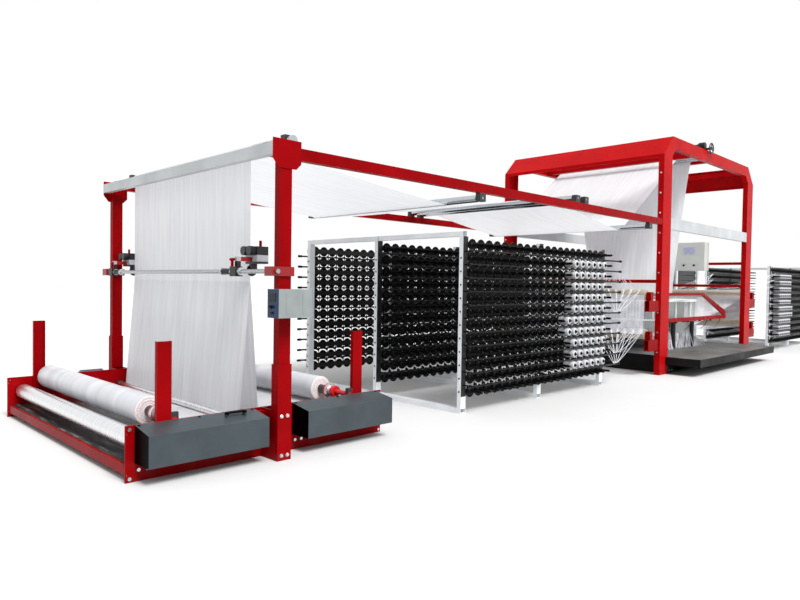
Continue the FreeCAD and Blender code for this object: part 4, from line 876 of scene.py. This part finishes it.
# moulded end caps on the guide bars, and the screws that hold each row rail to the post
cap_shape = [(0.011, 0.0), (0.018, 0.001), (0.018, 0.055), (0.014, 0.066)]
caps, screws = [], []
for start in creel_starts:
    for y, side in panel_faces:
        for i in range(rows - 1):
            z = first_row + row_pitch * (i + 0.5)
            bar_y = y + side * (0.03 + 0.15)
            if start < 0:
                caps.append(((start, bar_y, z), (-1, 0, 0)))
                screws.append((start - 0.0004, y, z - row_pitch / 2))
            caps.append(((start + creel_length + 0.19, bar_y, z), (1, 0, 0)))
caps = [c for c in caps if c[0][0] < bars_high.x - 0.03]
many_turned("guide_bar_caps", cap_shape, 14, caps, lacquer)
hex_bolts("row_rail_screws", screws, (-1, 0, 0), across=0.016, tall=0.008,
          material=black_oxide)

# ---- bobbin holders
# Each tape bobbin sits on a moulded nylon holder: a dished brake flange, a barrel and a
# tapered nose, pressed on a spindle through the row rail.

# glass-filled nylon: deep black, half gloss, with a fine 1 mm moulded texture
nylon, tree, shader, place = finish_of("black glass-filled nylon", 0.34, ior=1.5, gloss=0.12)
fibre = add(tree, "ShaderNodeTexNoise", {"Vector": place, "Scale": 700.0, "Detail": 2.0})
worn = add(tree, "ShaderNodeTexNoise", {"Vector": place, "Scale": 11.0, "Detail": 4.0})
paint(tree, shader, spread(tree, worn.outputs["Fac"], 0.4, 0.75), "#010101", "#070708")
bump(tree, shader, fibre.outputs["Fac"], 0.0003, 0.5)
holder_shape = [(0.074, 0.0), (0.074, 0.012), (0.066, 0.012), (0.060, 0.006), (0.030, 0.010),
                (0.022, 0.040), (0.0165, 0.060), (0.0165, 0.186), (0.0105, 0.2)]
for number, start in enumerate(creel_starts):
    places = []
    first_column = start + column_inset
    for y, side in panel_faces:
        for i in range(rows):
            for k in range(columns):
                places.append(((first_column + column_pitch * k, y + side * 0.0362,
                                first_row + row_pitch * i), (0, side, 0)))
    node = "creel_%d_spindles" % (number + 1)
    holders = many_turned("bobbin_holders_%d" % (number + 1), holder_shape, 12, places, nylon)
    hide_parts(node)

# ---- tape tension units
# Between the holders stand small moulded tension discs, each with a white ceramic eyelet, on
# black straps of flat bar that run down the row rails.
ceramic, tree, shader, place = finish_of("white ceramic", 0.2, ior=1.6)
body_tone = add(tree, "ShaderNodeTexNoise", {"Vector": place, "Scale": 60.0})
paint(tree, shader, body_tone.outputs["Fac"], "#b9bab6", "#e2e2de")
disc_shape = [(0.02, 0.0), (0.02, 0.012), (0.012, 0.018), (0.011, 0.05)]
eyelet_shape = [(0.009, 0.0), (0.0115, 0.004), (0.006, 0.008)]
for number, start in enumerate(creel_starts):
    discs, eyelets, straps = [], [], []
    first_column = start + column_inset
    for y, side in panel_faces:
        face_y = y + side * 0.0364
        for k in range(columns - 1):
            x = first_column + column_pitch * (k + 0.5)
            straps.append((x, face_y, side))
            for i in range(rows - 1):
                z = first_row + row_pitch * (i + 0.5)
                discs.append(((x, face_y + side * 0.003, z), (0, side, 0)))
                eyelets.append(((x, face_y + side * 0.0525, z), (0, side, 0)))
    many_turned("tension_discs_%d" % (number + 1), disc_shape, 10, discs, nylon)
    many_turned("tape_eyelets_%d" % (number + 1), eyelet_shape, 8, eyelets, ceramic)
    verts, faces = [], []
    for x, y, side in straps:
        faces += ring_faces(len(verts), 2, 4)
        for z in (first_row - 0.03, first_row + row_pitch * (rows - 1) + 0.03):
            for a, b in corners:
                verts.append((x + (a - 0.5) * 0.015, y + side * b * 0.003, z))
    strap_set = new_piece("tension_straps_%d" % (number + 1), verts, faces, lacquer)
    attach(strap_set, "root")

# ---- tape bobbins
# Full packages of flat white polypropylene tape, cross wound on short black tubes; the ends
# show the tube and the wound face.

# wound tape: satin white with fine diagonal lay lines about 5 mm apart
tape_package, tree, shader, place = finish_of("cross wound white tape", 0.45, ior=1.5)
lay = add(tree, "ShaderNodeTexWave", {"Vector": place, "Scale": 32.0, "Distortion": 1.5},
          bands_direction="DIAGONAL")
paint(tree, shader, lay.outputs["Fac"], "#a6a7aa", "#c4c5c8")
bump(tree, shader, lay.outputs["Fac"], 0.0006, 0.4)
package_shape = [(0.0172, 0.002), (0.050, 0.0), (0.0525, 0.004), (0.0525, 0.158),
                 (0.049, 0.165), (0.026, 0.163), (0.0172, 0.163)]
face_y = -1.547 - 0.030 - 0.006 - 0.006
packages = []
for creel_start in creel_starts:
    first_column = creel_start + column_inset
    for row in range(1, 11):
        for column in range(12 if row in (4, 5) else 13, 19):
            spot = column if creel_start < 0 else columns - 1 - column
            packages.append(((first_column + column_pitch * spot, face_y - 0.007,
                              first_row + row_pitch * row), (0, -1, 0)))
bobbins = many_turned("tape_packages", package_shape, 28, packages, tape_package,
                      ends="open")
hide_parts("tape_bobbins")
tubes = [((x, y - 0.164, z), axis) for (x, y, z), axis in packages]
many_turned("package_tubes", [(0.0175, 0.0), (0.0262, 0.0), (0.0262, 0.004), (0.022, 0.004)],
            20, tubes, nylon, ends="open")

# ---- warp tapes and tape rollers
# From each guide bar the flat tapes run, a little slack, to the loom and over rollers in
# front of it, then fan in to the ring of healds under the weaving track.

# slit polypropylene tape: thin, glossy, bluish white, each tape a touch different
flat_tape, tree, shader, place = finish_of("slit white polypropylene tape", 0.3, ior=1.5)
each = add(tree, "ShaderNodeTexNoise", {"Vector": place, "Scale": 9.0, "Detail": 3.0})
paint(tree, shader, spread(tree, each.outputs["Fac"], 0.35, 0.65), "#d6d8e0", "#f6f6fa")
shader.inputs["Sheen Weight"].default_value = 0.1

# tape lying on the rollers: warm beige with fine turns about 10 mm apart round the roller
roller_tape, tree, shader, place = finish_of("tape laid round a roller", 0.5, ior=1.5)
around_roller = add(tree, "ShaderNodeMapping", {"Vector": place, "Scale": (0.02, 1.0, 0.02)})
turns = add(tree, "ShaderNodeTexNoise", {"Vector": around_roller.outputs["Vector"],
                                         "Scale": 75.0, "Detail": 8.0, "Roughness": 0.7})
paint(tree, shader, spread(tree, turns.outputs["Fac"], 0.38, 0.62), "#8a7e6b", "#b0a592")
bump(tree, shader, turns.outputs["Fac"], 0.001, 0.5)
dress(roller_tape, "tape_roller_1_upper", "tape_roller_1_lower", "tape_roller_2_upper",
      "tape_roller_2_lower")


def ribbons(name, runs, width, replaces=None):
    """Thin flat tapes; each run is a list of points, and the tape lies across Y."""
    verts, faces = [], []
    for points in runs:
        faces += ring_faces(len(verts), len(points), 4)
        for i, p in enumerate(points):
            back, on = Vector(points[max(i - 1, 0)]), Vector(points[min(i + 1, len(points) - 1)])
            onward = (on - back).normalized()
            wide = Vector((0, 1, 0)) - onward * onward.y
            wide = (wide.normalized() if wide.length > 0.2 else Vector((0, 0, 1))) * width / 2
            thin = onward.cross(wide).normalized() * 0.0003
            for a, b in corners:
                verts.append(Vector(p) + wide * (2 * a - 1) + thin * (2 * b - 1))
    piece = new_piece(name, verts, faces, flat_tape)
    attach(piece, "root")
    if replaces:
        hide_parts(replaces)
    return piece


def sagged(p, q, drop, count=7):
    """Points of a slack run from p to q that hangs down by drop in the middle."""
    p, q = Vector(p), Vector(q)
    points = []
    for i in range(count + 1):
        t = i / count
        point = p.lerp(q, t)
        point.z -= drop * 4 * t * (1 - t)
        points.append(point)
    return points


random.seed(21)
feeds, fans = [], []
bar_end = {1: bars_low.x + creel_length + 0.25, 2: frames_high.x - creel_length}
for creel in (1, 2):
    toward = 1 if creel == 1 else -1
    for panel, (y, side) in enumerate(panel_faces):
        bar_y = y + side * 0.18
        for i in range(rows - 1):
            z = first_row + row_pitch * (i + 0.5)
            upper = centre_of("tape_roller_%d_%s" % (creel, "upper" if i > 4 else "lower"))
            for k in range(7):
                share = (panel + (k * 11 + i) % 77 / 77.0) / 3
                end_y = -1.54 + 3.08 * share
                start_x = bar_end[creel] - toward * (0.05 + 0.02 * k)
                point = (upper.x - toward * 0.03, end_y, upper.z + 0.0905)
                feeds.append(sagged((start_x, bar_y, z + 0.013), point,
                                    0.02 + random.uniform(0, 0.05)))
    for level in ("upper", "lower"):
        hub = centre_of("tape_roller_%d_%s" % (creel, level))
        for k in range(64):
            share = (k + 0.5) / 64
            y = -1.54 + 3.08 * share
            a = math.pi / 2 * (1.5 * share - 0.75)
            r = 1.176 if level == "upper" else 1.165
            ring = (loom_x - toward * r * math.cos(a), r * math.sin(a), 0.70 if level ==
                    "upper" else 0.66)
            fans.append([(hub.x, y, hub.z + 0.0912),
                         (hub.x + toward * 0.062, y, hub.z + 0.066),
                         (hub.x + toward * 0.091, y, hub.z)]
                        + sagged((hub.x + toward * 0.0915, y, hub.z - 0.02), ring, 0.03))
ribbons("warp_tapes_to_rollers", feeds, 0.007, replaces="tape_curtains")
ribbons("warp_tapes_to_ring", fans, 0.012)

# the curtain of tape between each pair of rollers, and the fans that rise through the deck
# to the ring on both sides
curtain, risers = [], []
for creel in (1, 2):
    toward = 1 if creel == 1 else -1
    high, low = (centre_of("tape_roller_%d_%s" % (creel, level)) for level in
                 ("upper", "lower"))
    for k in range(170):
        y = -1.56 + 3.12 * k / 169
        curtain.append([(high.x - toward * 0.0915, y, high.z),
                        (high.x - toward * (0.0915 - 0.004 * ripple(y, 3.0)), y + 0.004,
                         (high.z + low.z) / 2), (low.x - toward * 0.0915, y, low.z)])
ribbons("tape_curtain", curtain, 0.013)
for side in (-1, 1):
    for k in range(120):
        share = k / 119
        a = side * math.radians(40 + 100 * share)
        bundle = round(share * 9) / 9
        foot = (loom_x + 1.45 * math.cos(side * math.radians(45 + 90 * bundle))
                + 0.07 * math.sin(k * 2.4), side * (1.16 + 0.05 * math.sin(k * 1.3)), 0.312)
        top = (loom_x + 1.184 * math.cos(a), 1.184 * math.sin(a), 0.655)
        risers.append([top, Vector(top).lerp(Vector(foot), 0.5) + Vector((0, 0, 0.01)), foot])
ribbons("warp_tapes_from_deck", risers, 0.014)
